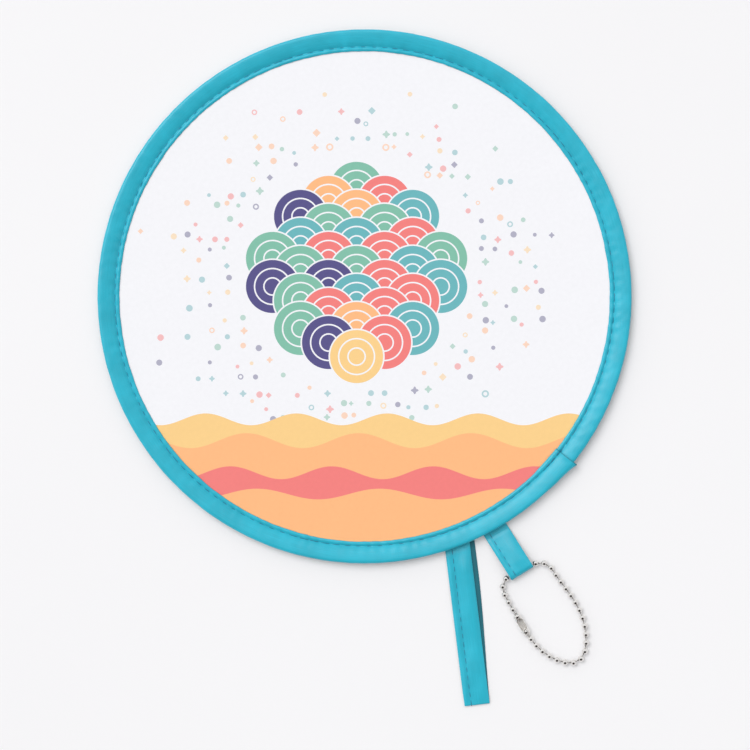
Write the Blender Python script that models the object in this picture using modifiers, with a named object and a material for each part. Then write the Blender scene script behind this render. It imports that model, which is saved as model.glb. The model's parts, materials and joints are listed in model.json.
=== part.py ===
"""Round pop-up fan: a cloth disc kept taut by a spring-steel hoop sewn into a satin binding.

A flat strap loop and a short tab are sewn under the rim, and a bead chain hangs in the tab.
The origin is the centre of the disc's print face, +Z is the way the print faces, and the
strap and the tab leave the rim towards -Y. Lengths are in metres.
"""
import math

import bmesh
import bpy
from mathutils import Matrix, Vector

MM = 0.001

# Fan, over the binding
FAN_DIAMETER = 200.0 * MM
BINDING_WIDTH = 8.2 * MM
CLOTH_THICKNESS = 0.2 * MM

# Satin tape: the binding is one ply, and each pass of the strap and the tab is as thick again folded flat
TAPE_THICKNESS = 0.35 * MM
SEAM_INSET = 1.7 * MM
# The print face is flat up to this far from the binding, and the seam presses the cloth beyond it thinner
FACE_MARGIN = 0.5 * MM
SEAM_PRESS = 0.05 * MM
LAP_LENGTH = 9.0 * MM

# Strap and tab, seen from the print side: lengths from the rim's edge to the fold
STRAP_WIDTH = 9.5 * MM
STRAP_LENGTH = 60.0 * MM
TAB_WIDTH = 9.6 * MM
TAB_LENGTH = 19.7 * MM
# The back pass of the strap lies a little aside of the front pass at the rim
STRAP_SKEW = 1.9 * MM
# The free tapes hinge a little outside the rim, so that they clear it when they stand up
HINGE_OFFSET = 1.5 * MM

# Spring hoop, and the sleeve that joins its ends
HOOP_HEIGHT = 1.8 * MM
HOOP_THICKNESS = 0.5 * MM
HOOP_END_GAP = 0.4 * MM
FERRULE_WALL = 0.2 * MM
FERRULE_LENGTH = 12.0 * MM

# Bead chain
BALL_DIAMETER = 2.4 * MM
BALL_WALL = 0.25 * MM
BALL_PITCH = 3.175 * MM
BALL_HOLE_DIAMETER = 1.1 * MM
LINK_DIAMETER = 0.5 * MM
LINK_HEAD_DIAMETER = 1.25 * MM
CONNECTOR_SPAN = 6.6 * MM
CONNECTOR_WALL = 0.2 * MM
CONNECTOR_SLOT_WIDTH = 1.1 * MM
CONNECTOR_MOUTH_LENGTH = 3.0 * MM

# Clearances: cloth against its neighbour, metal in its own seat, and the free end of a tape at its hinge
CLOTH_GAP = 0.2 * MM
SEAT_GAP = 0.1 * MM
HINGE_GAP = 0.3 * MM
MERGE_DISTANCE = 0.001 * MM

# Where the tapes leave the rim, as runs along it from -Y towards +X, so that a smaller rim keeps them apart
STRAP_ROOT_RUN = -8.5 * MM
TAB_ROOT_RUN = 7.6 * MM

# Directions are angles from -Y towards +X, seen from the print side
STRAP_ANGLE = math.radians(-18.0)
TAB_ANGLE = math.radians(7.0)
LAP_ANGLE = math.radians(26.6)
# The chain's long arm leaves the fold at this angle to it, and no ball lets the chain bend more than the limit
EXIT_ANGLE = math.radians(18.0)
BEND_LIMIT = math.radians(36.0)
FERRULE_ANGLE = math.radians(180.0)

# Counts
BALL_COUNT = 32
TAB_BALL = 8
RIM_STEPS = 72
HOOP_STEPS = 144
FOLD_STEPS = 6
BALL_SIDES = 10
LINK_SIDES = 8
CONNECTOR_SIDES = 16

# Levels, counted from the print face
CLOTH_MID = -CLOTH_THICKNESS / 2
FERRULE_HALF_HEIGHT = HOOP_HEIGHT / 2 + SEAT_GAP + FERRULE_WALL
RIM_INNER_HALF_HEIGHT = FERRULE_HALF_HEIGHT + CLOTH_GAP
SEAM_INNER_HALF_HEIGHT = CLOTH_THICKNESS / 2 + CLOTH_GAP
SEWN_END_THICKNESS = 2 * TAPE_THICKNESS
RIM_BOTTOM = CLOTH_MID - RIM_INNER_HALF_HEIGHT - TAPE_THICKNESS
TABLE_LEVEL = RIM_BOTTOM - CLOTH_GAP - SEWN_END_THICKNESS

# Radii in the rim
FAN_RADIUS = FAN_DIAMETER / 2
BINDING_INNER_RADIUS = FAN_RADIUS - BINDING_WIDTH
SEAM_OUTER_RADIUS = BINDING_INNER_RADIUS + 2 * SEAM_INSET
DISC_RADIUS = SEAM_OUTER_RADIUS
FERRULE_HALF_THICKNESS = HOOP_THICKNESS / 2 + SEAT_GAP + FERRULE_WALL
HOOP_RADIUS = FAN_RADIUS - TAPE_THICKNESS - CLOTH_GAP - FERRULE_HALF_THICKNESS
CREST_RADIUS = HOOP_RADIUS - FERRULE_HALF_THICKNESS - CLOTH_GAP
HINGE_RADIUS = FAN_RADIUS + HINGE_OFFSET
STRAP_ROOT_ANGLE = STRAP_ROOT_RUN / HINGE_RADIUS
TAB_ROOT_ANGLE = TAB_ROOT_RUN / HINGE_RADIUS
FACE_RADIUS = BINDING_INNER_RADIUS - FACE_MARGIN

# Folds: radii at the middle of the tape
FLAT_FOLD_RADIUS = (TAPE_THICKNESS + CLOTH_GAP) / 2
BALL_RADIUS = BALL_DIAMETER / 2
TAB_FOLD_RADIUS = BALL_RADIUS + CLOTH_GAP + TAPE_THICKNESS / 2
HINGE_LEVEL = TABLE_LEVEL + TAPE_THICKNESS / 2 + FLAT_FOLD_RADIUS
TAB_AXIS_LEVEL = TABLE_LEVEL + TAPE_THICKNESS / 2 + TAB_FOLD_RADIUS

BALL_INNER_RADIUS = BALL_RADIUS - BALL_WALL
CONNECTOR_BORE_RADIUS = BALL_RADIUS + SEAT_GAP
CONNECTOR_RADIUS = CONNECTOR_BORE_RADIUS + CONNECTOR_WALL

# The loop as it lies, from the first end ball round to the last, in shares of the chain's
# length: along the tab's fold, and out from it
LOOP_ROUTE_SHARES = (
    (-0.097, 0.124), (-0.095, 0.066), (-0.079, 0.018), (-0.058, 0.003), (0.0, 0.0), (0.058, 0.004),
    (0.080, 0.040), (0.101, 0.111), (0.113, 0.195), (0.107, 0.262), (0.083, 0.315), (0.048, 0.363),
    (0.008, 0.386), (-0.037, 0.368), (-0.075, 0.325), (-0.101, 0.262), (-0.101, 0.188),
)

FINISHES = {
    "printed_cloth": ((0.90, 0.90, 0.92), 0.80, 0.0),
    "satin_tape": ((0.02, 0.36, 0.47), 0.45, 0.0),
    "spring_steel": ((0.45, 0.46, 0.48), 0.35, 1.0),
    "nickel": ((0.72, 0.70, 0.67), 0.22, 1.0),
}


# Scene, collections and materials

def clear_scene():
    for obj in list(bpy.data.objects):
        bpy.data.objects.remove(obj)


def new_collection(name):
    collection = bpy.data.collections.new(name)
    bpy.context.scene.collection.children.link(collection)
    return collection


clear_scene()
PARTS = new_collection("round_folding_fan")
HELPERS = new_collection("cutters")


def make_material(name, finish):
    colour, roughness, metallic = FINISHES[finish]
    material = bpy.data.materials.new(name)
    material.use_nodes = True
    shader = material.node_tree.nodes["Principled BSDF"]
    shader.inputs["Base Color"].default_value = (*colour, 1)
    shader.inputs["Roughness"].default_value = roughness
    shader.inputs["Metallic"].default_value = metallic
    return material


def put(obj, world, parent):
    """Place an object by its world matrix, under a parent if it has one."""
    obj.parent = parent
    if parent:
        bpy.context.view_layer.update()
        world = parent.matrix_world.inverted() @ world
    obj.matrix_basis = world


def add_part(name, mesh, finish, world=None, parent=None):
    """One named node with its own material."""
    obj = bpy.data.objects.new(name, mesh)
    PARTS.objects.link(obj)
    mesh.materials.clear()
    mesh.materials.append(make_material(name, finish))
    mesh.shade_smooth()
    mesh.set_sharp_from_angle(angle=math.radians(40))
    put(obj, world or Matrix.Identity(4), parent)
    return obj


def add_pivot(name, world):
    """An empty on a joint's axis, for the piece that turns about it."""
    pivot = bpy.data.objects.new(name, None)
    PARTS.objects.link(pivot)
    put(pivot, world, None)
    return pivot


def add_helper(name, data, world=None):
    """A guide or a cutter, which is used up before the model is done."""
    helper = bpy.data.objects.new(name, data)
    HELPERS.objects.link(helper)
    helper.display_type = "WIRE"
    helper.hide_render = True
    helper.matrix_basis = world or Matrix.Identity(4)
    return helper


def finished_mesh(helper):
    """The helper's evaluated mesh, welded, with its faces pointing out; the helper is removed."""
    bpy.context.view_layer.update()
    depsgraph = bpy.context.evaluated_depsgraph_get()
    mesh = bpy.data.meshes.new_from_object(helper.evaluated_get(depsgraph))
    bpy.data.objects.remove(helper)
    bm = bmesh.new()
    bm.from_mesh(mesh)
    bmesh.ops.remove_doubles(bm, verts=bm.verts, dist=MERGE_DISTANCE)
    bmesh.ops.recalc_face_normals(bm, faces=bm.faces)
    bm.to_mesh(mesh)
    bm.free()
    return mesh


def mesh_from_faces(name, points, faces):
    mesh = bpy.data.meshes.new(name)
    mesh.from_pydata(points, [], faces)
    return mesh


def band_mesh(name, rings, closed):
    """Skin over rings of points of one count, each ring closed on itself."""
    count = len(rings[0])
    points = [point for ring in rings for point in ring]
    last = len(rings) if closed else len(rings) - 1
    faces = []
    for k in range(last):
        here = k * count
        there = (k + 1) % len(rings) * count
        for i in range(count):
            j = (i + 1) % count
            faces.append((here + i, here + j, there + j, there + i))
    if not closed:
        faces.append(tuple(range(count)))
        faces.append(tuple(range(last * count, (last + 1) * count)))
    return mesh_from_faces(name, points, faces)


def turned_mesh(name, profile, sides):
    """A profile at +X turned about Z, run down its outer side; it starts and ends on the axis."""
    mesh = bpy.data.meshes.new(name)
    edges = [(i, i + 1) for i in range(len(profile) - 1)]
    if profile[0][0] > 0:
        edges.append((len(profile) - 1, 0))
    mesh.from_pydata([(radius, 0, height) for radius, height in profile], edges, [])
    helper = add_helper(name, mesh)
    screw = helper.modifiers.new("turn", "SCREW")
    screw.steps = sides
    screw.render_steps = sides
    screw.use_merge_vertices = True
    screw.merge_threshold = MERGE_DISTANCE
    return finished_mesh(helper)


def extruded_mesh(name, outline, height):
    """A flat closed outline in the XY plane, given its height about that plane."""
    curve = bpy.data.curves.new(name, "CURVE")
    curve.dimensions = "2D"
    curve.fill_mode = "BOTH"
    curve.extrude = height / 2
    spline = curve.splines.new("POLY")
    spline.points.add(len(outline) - 1)
    for point, corner in zip(spline.points, outline):
        point.co = (corner[0], corner[1], 0, 1)
    spline.use_cyclic_u = True
    return finished_mesh(add_helper(name, curve))


def combined_mesh(name, first, second, operation):
    """One solid joined to another, or cut by it. Each is a mesh and its world matrix."""
    base = add_helper(name, *first)
    other = add_helper(name + "_other", *second)
    modifier = base.modifiers.new("combine", "BOOLEAN")
    modifier.operation = operation
    modifier.object = other
    modifier.solver = "EXACT"
    mesh = finished_mesh(base)
    bpy.data.objects.remove(other)
    return mesh


# Directions and places round the rim

def direction(angle):
    """Unit vector at an angle from -Y towards +X."""
    return Vector((math.sin(angle), -math.cos(angle), 0))


def across(angle):
    """Unit vector square to direction(angle), towards +X."""
    return Vector((math.cos(angle), math.sin(angle), 0))


def on_circle(radius, angle, level):
    return direction(angle) * radius + Vector((0, 0, level))


def arc_points(radius, start, end, steps):
    return [on_circle(radius, start + (end - start) * i / steps, 0) for i in range(steps + 1)]


# Rim: disc, hoop, ferrule and binding

def build_disc():
    """The cloth: its print face is flat up to the binding, and pressed a little thinner under it."""
    profile = [
        (0, 0), (FACE_RADIUS, 0), (BINDING_INNER_RADIUS, -SEAM_PRESS), (DISC_RADIUS, -SEAM_PRESS),
        (DISC_RADIUS, -CLOTH_THICKNESS), (0, -CLOTH_THICKNESS),
    ]
    add_part("fan_disc", turned_mesh("fan_disc", profile, RIM_STEPS), "printed_cloth")


def build_hoop():
    """The strip is an arc just short of a full turn; its two ends face each other in the ferrule."""
    half_gap = HOOP_END_GAP / HOOP_RADIUS / 2
    start = FERRULE_ANGLE + half_gap
    end = FERRULE_ANGLE + 2 * math.pi - half_gap
    outline = arc_points(HOOP_RADIUS + HOOP_THICKNESS / 2, start, end, HOOP_STEPS)
    outline += reversed(arc_points(HOOP_RADIUS - HOOP_THICKNESS / 2, start, end, HOOP_STEPS))
    mesh = extruded_mesh("spring_hoop", outline, HOOP_HEIGHT)
    add_part("spring_hoop", mesh, "spring_steel", Matrix.Translation((0, 0, CLOTH_MID)))


def build_ferrule():
    """A flat sleeve that follows the strip's curve, open at both ends."""
    half_angle = FERRULE_LENGTH / HOOP_RADIUS / 2
    stations = 4
    skins = []
    for wall in (0, FERRULE_WALL):
        half_thickness = FERRULE_HALF_THICKNESS - wall
        half_height = FERRULE_HALF_HEIGHT - wall
        skin = []
        for i in range(stations + 1):
            angle = FERRULE_ANGLE + half_angle * (2 * i / stations - 1)
            skin.append([
                on_circle(HOOP_RADIUS + side * half_thickness, angle, CLOTH_MID + up * half_height)
                for side, up in ((-1, -1), (1, -1), (1, 1), (-1, 1))
            ])
        skins.append(skin)
    rings = skins[0] + skins[1][::-1]
    mesh = finished_mesh(add_helper("hoop_ferrule", band_mesh("hoop_ferrule", rings, True)))
    add_part("hoop_ferrule", mesh, "spring_steel")


def rim_skin(grow):
    """Upper half of a skin of the binding, as radius and height over the cloth's middle.

    It runs from the inner edge over the flat seam, up the slope that the hoop makes and round
    the outer edge. grow is how far the skin lies outside the tape's inner face.
    """
    centre_radius = FAN_RADIUS - TAPE_THICKNESS - CLOTH_GAP
    centre_height = RIM_INNER_HALF_HEIGHT - CLOTH_GAP
    corner_radius = CLOTH_GAP + grow
    points = [
        (BINDING_INNER_RADIUS, SEAM_INNER_HALF_HEIGHT + grow),
        (SEAM_OUTER_RADIUS, SEAM_INNER_HALF_HEIGHT + grow),
        (CREST_RADIUS, RIM_INNER_HALF_HEIGHT + grow),
    ]
    corner_steps = 2
    for i in range(corner_steps + 1):
        turn = math.pi / 2 * i / corner_steps
        points.append((
            centre_radius + corner_radius * math.sin(turn),
            centre_height + corner_radius * math.cos(turn),
        ))
    return points


def binding_section(angle, lift):
    """Closed section of the folded tape, open towards the cloth; lift raises it off the tape below."""
    outer = rim_skin(TAPE_THICKNESS + lift)
    inner = rim_skin(lift)
    section = outer + [(radius, -height) for radius, height in reversed(outer)]
    section += [(radius, -height) for radius, height in inner]
    section += reversed(inner)
    return [on_circle(radius, angle, CLOTH_MID + height) for radius, height in section]


def build_binding():
    """One tape round the whole rim, whose last stretch steps out and laps over its beginning."""
    lap_turn = LAP_LENGTH / FAN_RADIUS
    step_turn = 2 * math.pi / RIM_STEPS
    lap_lift = TAPE_THICKNESS + SEAT_GAP
    start = LAP_ANGLE - lap_turn
    back_at_start = start + 2 * math.pi
    sections = [binding_section(start + step_turn * i, 0) for i in range(RIM_STEPS - 1)]
    sections.append(binding_section(back_at_start - step_turn / 2, 0))
    lifted_from = back_at_start - step_turn / 5
    lap_steps = 3
    for i in range(lap_steps + 1):
        angle = lifted_from + (LAP_ANGLE + 2 * math.pi - lifted_from) * i / lap_steps
        sections.append(binding_section(angle, lap_lift))
    mesh = finished_mesh(add_helper("binding", band_mesh("binding", sections, False)))
    add_part("binding", mesh, "satin_tape")


# Strap and tab: tapes folded into flat loops, each with an end sewn under the rim

def hinge_frame(root_angle):
    """World matrix of a tape's hinge: +X along the rim's tangent, -Y out from the rim."""
    return Matrix.Translation(on_circle(HINGE_RADIUS, root_angle, HINGE_LEVEL)) @ Matrix.Rotation(root_angle, 4, "Z")


def thickened(name, rows, closed, thickness):
    """A tape from rows of (left, right) points, given its thickness about its middle."""
    points = [point for row in rows for point in row]
    count = len(rows) if closed else len(rows) - 1
    faces = []
    for k in range(count):
        here = 2 * k
        there = 2 * ((k + 1) % len(rows))
        faces.append((here, here + 1, there + 1, there))
    sheet = mesh_from_faces(name, points, faces)
    helper = add_helper(name, sheet)
    solidify = helper.modifiers.new("thickness", "SOLIDIFY")
    solidify.thickness = thickness
    solidify.offset = 0
    solidify.use_even_offset = True
    return finished_mesh(helper)


def loop_stations(reach, fold_radius, back_shift):
    """Stations of a flat loop, as run, level and sideways shift of the tape's middle.

    The loop turns round the hinge line, runs out along its front pass, turns round its far
    fold and comes back along the table. reach is from the hinge to the outside of the far fold.
    """
    straight = reach - fold_radius - TAPE_THICKNESS / 2
    fold_level = fold_radius - FLAT_FOLD_RADIUS
    stations = []
    for i in range(FOLD_STEPS + 1):
        turn = math.pi * i / FOLD_STEPS
        run = -FLAT_FOLD_RADIUS * math.sin(turn)
        level = -FLAT_FOLD_RADIUS * math.cos(turn)
        stations.append((run, level, back_shift * (1 - i / FOLD_STEPS)))
    pass_shares = (1 / 3, 2 / 3)
    for share in pass_shares:
        level = FLAT_FOLD_RADIUS + 2 * fold_level * share
        stations.append((straight * share, level, 0))
    for i in range(FOLD_STEPS + 1):
        turn = math.pi * i / FOLD_STEPS
        run = straight + fold_radius * math.sin(turn)
        level = fold_level + fold_radius * math.cos(turn)
        stations.append((run, level, 0))
    for share in reversed(pass_shares):
        stations.append((straight * share, -FLAT_FOLD_RADIUS, back_shift * (1 - share)))
    return stations


def build_loop(name, root_angle, tape_angle, width, reach, fold_radius, back_shift):
    """A free tape in its hinge's frame: cut along the rim at the hinge, square at its fold."""
    lean = tape_angle - root_angle
    along = direction(lean)
    side = across(lean)
    rows = []
    for run, level, shift in loop_stations(reach, fold_radius, back_shift):
        slant = max(0, 1 - abs(run) / width)
        row = []
        for hand in (-1, 1):
            offset = hand * width / 2 + shift
            row.append(along * (run - slant * offset * math.tan(-lean)) + side * offset + Vector((0, 0, level)))
        rows.append(row)
    frame = hinge_frame(root_angle)
    pivot = add_pivot(name + "_axis", frame)
    mesh = thickened(name, rows, True, TAPE_THICKNESS)
    return add_part(name, mesh, "satin_tape", frame, pivot)


def build_sewn_end(name, root_angle, tape_angle, width, shift):
    """The tape's end under the rim, from the seam out past the rim's edge to just short of the hinge."""
    lean = tape_angle - root_angle
    along = direction(lean)
    side = across(lean)
    seam_level = CLOTH_MID - SEAM_INNER_HALF_HEIGHT - TAPE_THICKNESS - CLOTH_GAP - SEWN_END_THICKNESS / 2
    rim_level = TABLE_LEVEL + SEWN_END_THICKNESS / 2
    stop = FLAT_FOLD_RADIUS + TAPE_THICKNESS / 2 + HINGE_GAP
    stations = (
        (HINGE_RADIUS - BINDING_INNER_RADIUS - SEAM_INSET / 2, seam_level),
        (HINGE_RADIUS - SEAM_OUTER_RADIUS + SEAM_INSET / 2, seam_level),
        (HINGE_RADIUS - CREST_RADIUS + SEAM_INSET, rim_level),
        (stop, rim_level),
    )
    rows = []
    for back, level in stations:
        row = []
        for hand in (-1, 1):
            offset = hand * width / 2 + max(0, hand) * shift
            run = -back / math.cos(lean) + offset * math.tan(lean)
            row.append(along * run + side * offset + Vector((0, 0, level - HINGE_LEVEL)))
        rows.append(row)
    mesh = thickened(name, rows, False, SEWN_END_THICKNESS)
    add_part(name, mesh, "satin_tape", hinge_frame(root_angle))


def build_strap():
    reach = STRAP_LENGTH - HINGE_OFFSET
    build_loop("strap_loop", STRAP_ROOT_ANGLE, STRAP_ANGLE, STRAP_WIDTH, reach, FLAT_FOLD_RADIUS, STRAP_SKEW)
    build_sewn_end("strap_sewn_end", STRAP_ROOT_ANGLE, STRAP_ANGLE, STRAP_WIDTH, STRAP_SKEW)


def build_tab():
    reach = TAB_LENGTH - HINGE_OFFSET
    build_sewn_end("tab_sewn_end", TAB_ROOT_ANGLE, TAB_ANGLE, TAB_WIDTH, 0)
    return build_loop("tab_loop", TAB_ROOT_ANGLE, TAB_ANGLE, TAB_WIDTH, reach, TAB_FOLD_RADIUS, 0)


# Bead chain

def smooth_point(points, position):
    """Point on the smooth curve through the points; position runs from 0 to the last index."""
    last = len(points) - 1
    index = min(int(position), last - 1)
    t = position - index
    before = points[max(index - 1, 0)]
    start = points[index]
    end = points[index + 1]
    after = points[min(index + 2, last)]
    return (
        start * 2 + (end - before) * t + (before * 2 - start * 5 + end * 4 - after) * t ** 2
        + (start * 3 - before - end * 3 + after) * t ** 3
    ) / 2


def ball_level(number):
    """A ball rests on the table, and rises to the fold or the connector that holds it."""
    on_table = TABLE_LEVEL + BALL_RADIUS
    fold_reach = 3
    end_reach = 2
    from_fold = max(abs(number - TAB_BALL) - 1, 0)
    from_end = min(number, BALL_COUNT + 1 - number) - 1
    fold_rise = (TAB_AXIS_LEVEL - on_table) * max(0, 1 - from_fold / fold_reach)
    end_rise = (CONNECTOR_RADIUS - BALL_RADIUS) * max(0, 1 - from_end / end_reach)
    return on_table + max(fold_rise, end_rise)


def chain_centres():
    """Ball centres in the fold's frame: along the fold, out from it, and the level.

    They start on the loop's route, and are then eased apart until every ball is exactly one
    pitch from the next, the end balls are one connector apart and no bend is too sharp.
    """
    length = BALL_PITCH * (BALL_COUNT - 1) + CONNECTOR_SPAN
    route = [Vector((x, y, 0)) * length for x, y in LOOP_ROUTE_SHARES]
    centres = []
    for i in range(BALL_COUNT):
        centre = smooth_point(route, (len(route) - 1) * i / (BALL_COUNT - 1))
        centre.z = ball_level(i + 1)
        centres.append(centre)
    held = {TAB_BALL - 1 + place: Vector((place * BALL_PITCH, 0)) for place in (-1, 0, 1)}
    # The next ball leaves the fold at a slant, just clear of the tab's edge
    inside = TAB_BALL
    drop = centres[inside].z - centres[inside + 1].z
    step = math.sqrt(BALL_PITCH ** 2 - drop ** 2)
    held[inside + 1] = held[inside] + Vector((math.cos(EXIT_ANGLE), math.sin(EXIT_ANGLE))) * step
    closest = 2 * BALL_PITCH * math.cos(BEND_LIMIT / 2)
    spacings = [(i, i + 2, closest, True) for i in range(BALL_COUNT - 2)]
    spacings += [(i, i + 1, BALL_PITCH, False) for i in range(BALL_COUNT - 1)]
    spacings.append((BALL_COUNT - 1, 0, CONNECTOR_SPAN, False))
    rounds = 4000
    for _ in range(rounds):
        for first, second, spacing, at_least in spacings:
            gap = centres[second] - centres[first]
            wanted = math.sqrt(spacing ** 2 - gap.z ** 2)
            gap.z = 0
            if at_least and gap.length > wanted:
                continue
            push = gap.normalized() * (wanted - gap.length) / 2
            centres[first] -= push
            centres[second] += push
        for i, place in held.items():
            centres[i].xy = place
    return centres


def chain_places():
    """Ball centres in the world, by ball number."""
    foot = on_circle(HINGE_RADIUS, TAB_ROOT_ANGLE, 0)
    reach = TAB_LENGTH - HINGE_OFFSET - TAB_FOLD_RADIUS - TAPE_THICKNESS / 2
    origin = foot + direction(TAB_ANGLE) * reach
    places = {}
    for i, centre in enumerate(chain_centres()):
        flat = across(TAB_ANGLE) * centre.x + direction(TAB_ANGLE) * centre.y
        places[i + 1] = origin + flat + Vector((0, 0, centre.z))
    return places


def sphere_profile(radius, start, end, steps, height=0):
    """Points of a circle about the axis, by angle from +Z."""
    points = []
    for i in range(steps + 1):
        angle = start + (end - start) * i / steps
        points.append((radius * math.sin(angle), height + radius * math.cos(angle)))
    return points


def ball_mesh():
    """A pressed hollow ball whose one hole faces +Z, for the link that comes in."""
    hole_radius = BALL_HOLE_DIAMETER / 2
    outer = sphere_profile(BALL_RADIUS, math.asin(hole_radius / BALL_RADIUS), math.pi, 5)
    inner = sphere_profile(BALL_INNER_RADIUS, math.asin(hole_radius / BALL_INNER_RADIUS), math.pi, 4)
    outer[-1] = (0, -BALL_RADIUS)
    inner[-1] = (0, -BALL_INNER_RADIUS)
    return turned_mesh("ball", inner[::-1] + outer, BALL_SIDES)


def link_mesh():
    """Half a dumbbell along +Z: it starts in its own ball's wall and ends in a head at the next centre."""
    wire_radius = LINK_DIAMETER / 2
    head_radius = LINK_HEAD_DIAMETER / 2
    foot = BALL_INNER_RADIUS + BALL_WALL / 3
    neck = math.pi - math.asin(wire_radius / head_radius)
    head = sphere_profile(head_radius, 0, neck, 4, BALL_PITCH)
    head[0] = (0, BALL_PITCH + head_radius)
    return turned_mesh("link", head + [(wire_radius, foot), (0, foot)], LINK_SIDES)


def facing(place, target):
    """World matrix at a place with its +Z towards a target."""
    return Matrix.Translation(place) @ (target - place).to_track_quat("Z", "Y").to_matrix().to_4x4()


def moved(mesh, place):
    """The mesh with its points counted from a place instead of the world's origin."""
    mesh.transform(Matrix.Translation(-place))
    return mesh


def build_ball(number, places, ball, link):
    """A ball with the link that leaves it towards the next ball, in world directions."""
    place = places[number]
    if number == 1:
        previous = place * 2 - places[2]
    else:
        previous = places[number - 1]
    name = f"chain_ball_{number:02d}"
    if number == BALL_COUNT:
        mesh = ball.copy()
        mesh.transform(facing(place, previous))
        return name, mesh
    mesh = combined_mesh(name, (ball, facing(place, previous)), (link, facing(place, places[number + 1])), "UNION")
    mesh.transform(facing(place, previous))
    return name, mesh


def build_chain(tab):
    """The balls of both arms, from the tab outwards, each under the ball that it hangs from.

    A ball beyond the tab turns about its own centre, where the last link's head sits in it. A
    ball before the tab turns about the head of its own link, in the centre of the next ball.
    """
    places = chain_places()
    ball = ball_mesh()
    link = link_mesh()
    order = list(range(TAB_BALL, BALL_COUNT + 1)) + list(range(TAB_BALL - 1, 0, -1))
    nodes = {}
    for number in order:
        name, mesh = build_ball(number, places, ball, link)
        if number == TAB_BALL:
            pivot, parent = places[number], tab
        elif number > TAB_BALL:
            pivot, parent = places[number], nodes[number - 1]
        else:
            pivot, parent = places[number + 1], nodes[number + 1]
        nodes[number] = add_part(name, moved(mesh, pivot), "nickel", Matrix.Translation(pivot), parent)
    build_connector(places[1], places[BALL_COUNT], nodes[1])


def connector_frame(first, last):
    """World matrix at the connector's middle: +Z along it to its first ball, +X up."""
    along = (first - last).normalized()
    up = Vector((0, 0, 1))
    side = along.cross(up)
    rotation = Matrix((up, side, along)).transposed().to_4x4()
    return Matrix.Translation((first + last) / 2) @ rotation


def build_connector(first, last, parent):
    """A sleeve with a domed seat at each end for an end ball, and a slot along its top.

    The slot joins the holes in both ends, and its wide middle lets a ball in.
    """
    hole_radius = BALL_HOLE_DIAMETER / 2
    seat = CONNECTOR_SPAN / 2
    halves = []
    for radius in (CONNECTOR_RADIUS, CONNECTOR_BORE_RADIUS):
        start = math.asin(hole_radius / radius)
        top = sphere_profile(radius, start, math.pi / 2, 3, seat)
        halves.append(top + [(r, -h) for r, h in reversed(top)])
    outer, inner = halves
    sleeve = turned_mesh("connector_sleeve", outer + inner[::-1], CONNECTOR_SIDES)
    frame = connector_frame(first, last)
    mouth = BALL_RADIUS + SEAT_GAP / 2
    half_slot = CONNECTOR_SLOT_WIDTH / 2
    half_mouth = CONNECTOR_MOUTH_LENGTH / 2
    half_length = seat + CONNECTOR_RADIUS + CONNECTOR_WALL
    quarter = [(half_slot, half_length), (half_slot, half_mouth + half_slot), (mouth, half_mouth)]
    right = quarter + [(x, -y) for x, y in reversed(quarter)]
    outline = right + [(-x, y) for x, y in reversed(right)]
    height = CONNECTOR_RADIUS + CONNECTOR_WALL
    cutter = extruded_mesh("connector_slot", outline, height)
    # The outline lies in its own XY plane, and its height goes along the sleeve's +X
    stand = Matrix(((0, 0, 1), (1, 0, 0), (0, 1, 0))).to_4x4()
    cutter_frame = frame @ Matrix.Translation((height / 2, 0, 0)) @ stand
    mesh = combined_mesh("chain_connector", (sleeve, frame), (cutter, cutter_frame), "DIFFERENCE")
    mesh.transform(frame)
    add_part("chain_connector", moved(mesh, first), "nickel", Matrix.Translation(first), parent)


def main():
    build_disc()
    build_hoop()
    build_ferrule()
    build_binding()
    build_strap()
    tab = build_tab()
    build_chain(tab)


main()
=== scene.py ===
# %% [markdown]
# Round folding fan. The real object is a disc of printed polyester, held taut by a ring of flat
# spring steel that is sewn into a satin binding. A long strap loop and a short tab are sewn under
# the rim, and a ball chain hangs in the tab. The solids of the frame give every place and size,
# and this script gives them cloth, thread, print and polish.

# %% Load the frame
import math
import json

import bpy
import bmesh
from mathutils import Matrix, Vector, noise


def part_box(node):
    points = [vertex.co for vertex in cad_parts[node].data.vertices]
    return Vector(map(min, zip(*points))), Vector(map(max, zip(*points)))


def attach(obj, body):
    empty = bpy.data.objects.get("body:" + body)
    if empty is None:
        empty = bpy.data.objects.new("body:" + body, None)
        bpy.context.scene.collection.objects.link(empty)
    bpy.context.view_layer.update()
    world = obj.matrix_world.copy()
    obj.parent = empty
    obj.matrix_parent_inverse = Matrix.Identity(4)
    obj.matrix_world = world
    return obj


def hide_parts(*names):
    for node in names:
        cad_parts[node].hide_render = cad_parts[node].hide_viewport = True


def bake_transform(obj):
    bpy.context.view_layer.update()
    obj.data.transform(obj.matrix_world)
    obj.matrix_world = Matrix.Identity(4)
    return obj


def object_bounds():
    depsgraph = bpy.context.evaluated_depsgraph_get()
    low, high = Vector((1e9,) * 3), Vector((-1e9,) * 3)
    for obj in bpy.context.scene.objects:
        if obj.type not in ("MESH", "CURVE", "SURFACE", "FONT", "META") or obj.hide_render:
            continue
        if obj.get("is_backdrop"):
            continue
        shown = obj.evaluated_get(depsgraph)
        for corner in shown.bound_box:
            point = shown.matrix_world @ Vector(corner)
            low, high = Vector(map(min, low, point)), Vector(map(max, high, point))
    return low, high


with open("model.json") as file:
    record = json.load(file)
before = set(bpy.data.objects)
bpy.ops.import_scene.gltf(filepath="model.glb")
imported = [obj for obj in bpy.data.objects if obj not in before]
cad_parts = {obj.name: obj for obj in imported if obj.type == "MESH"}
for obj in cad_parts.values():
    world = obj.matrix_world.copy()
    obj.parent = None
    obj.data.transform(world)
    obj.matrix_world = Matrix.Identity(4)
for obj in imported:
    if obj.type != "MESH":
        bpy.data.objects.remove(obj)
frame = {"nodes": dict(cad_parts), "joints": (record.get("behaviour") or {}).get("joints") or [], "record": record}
cad_low, cad_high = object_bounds()
MM = 0.001
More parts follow.
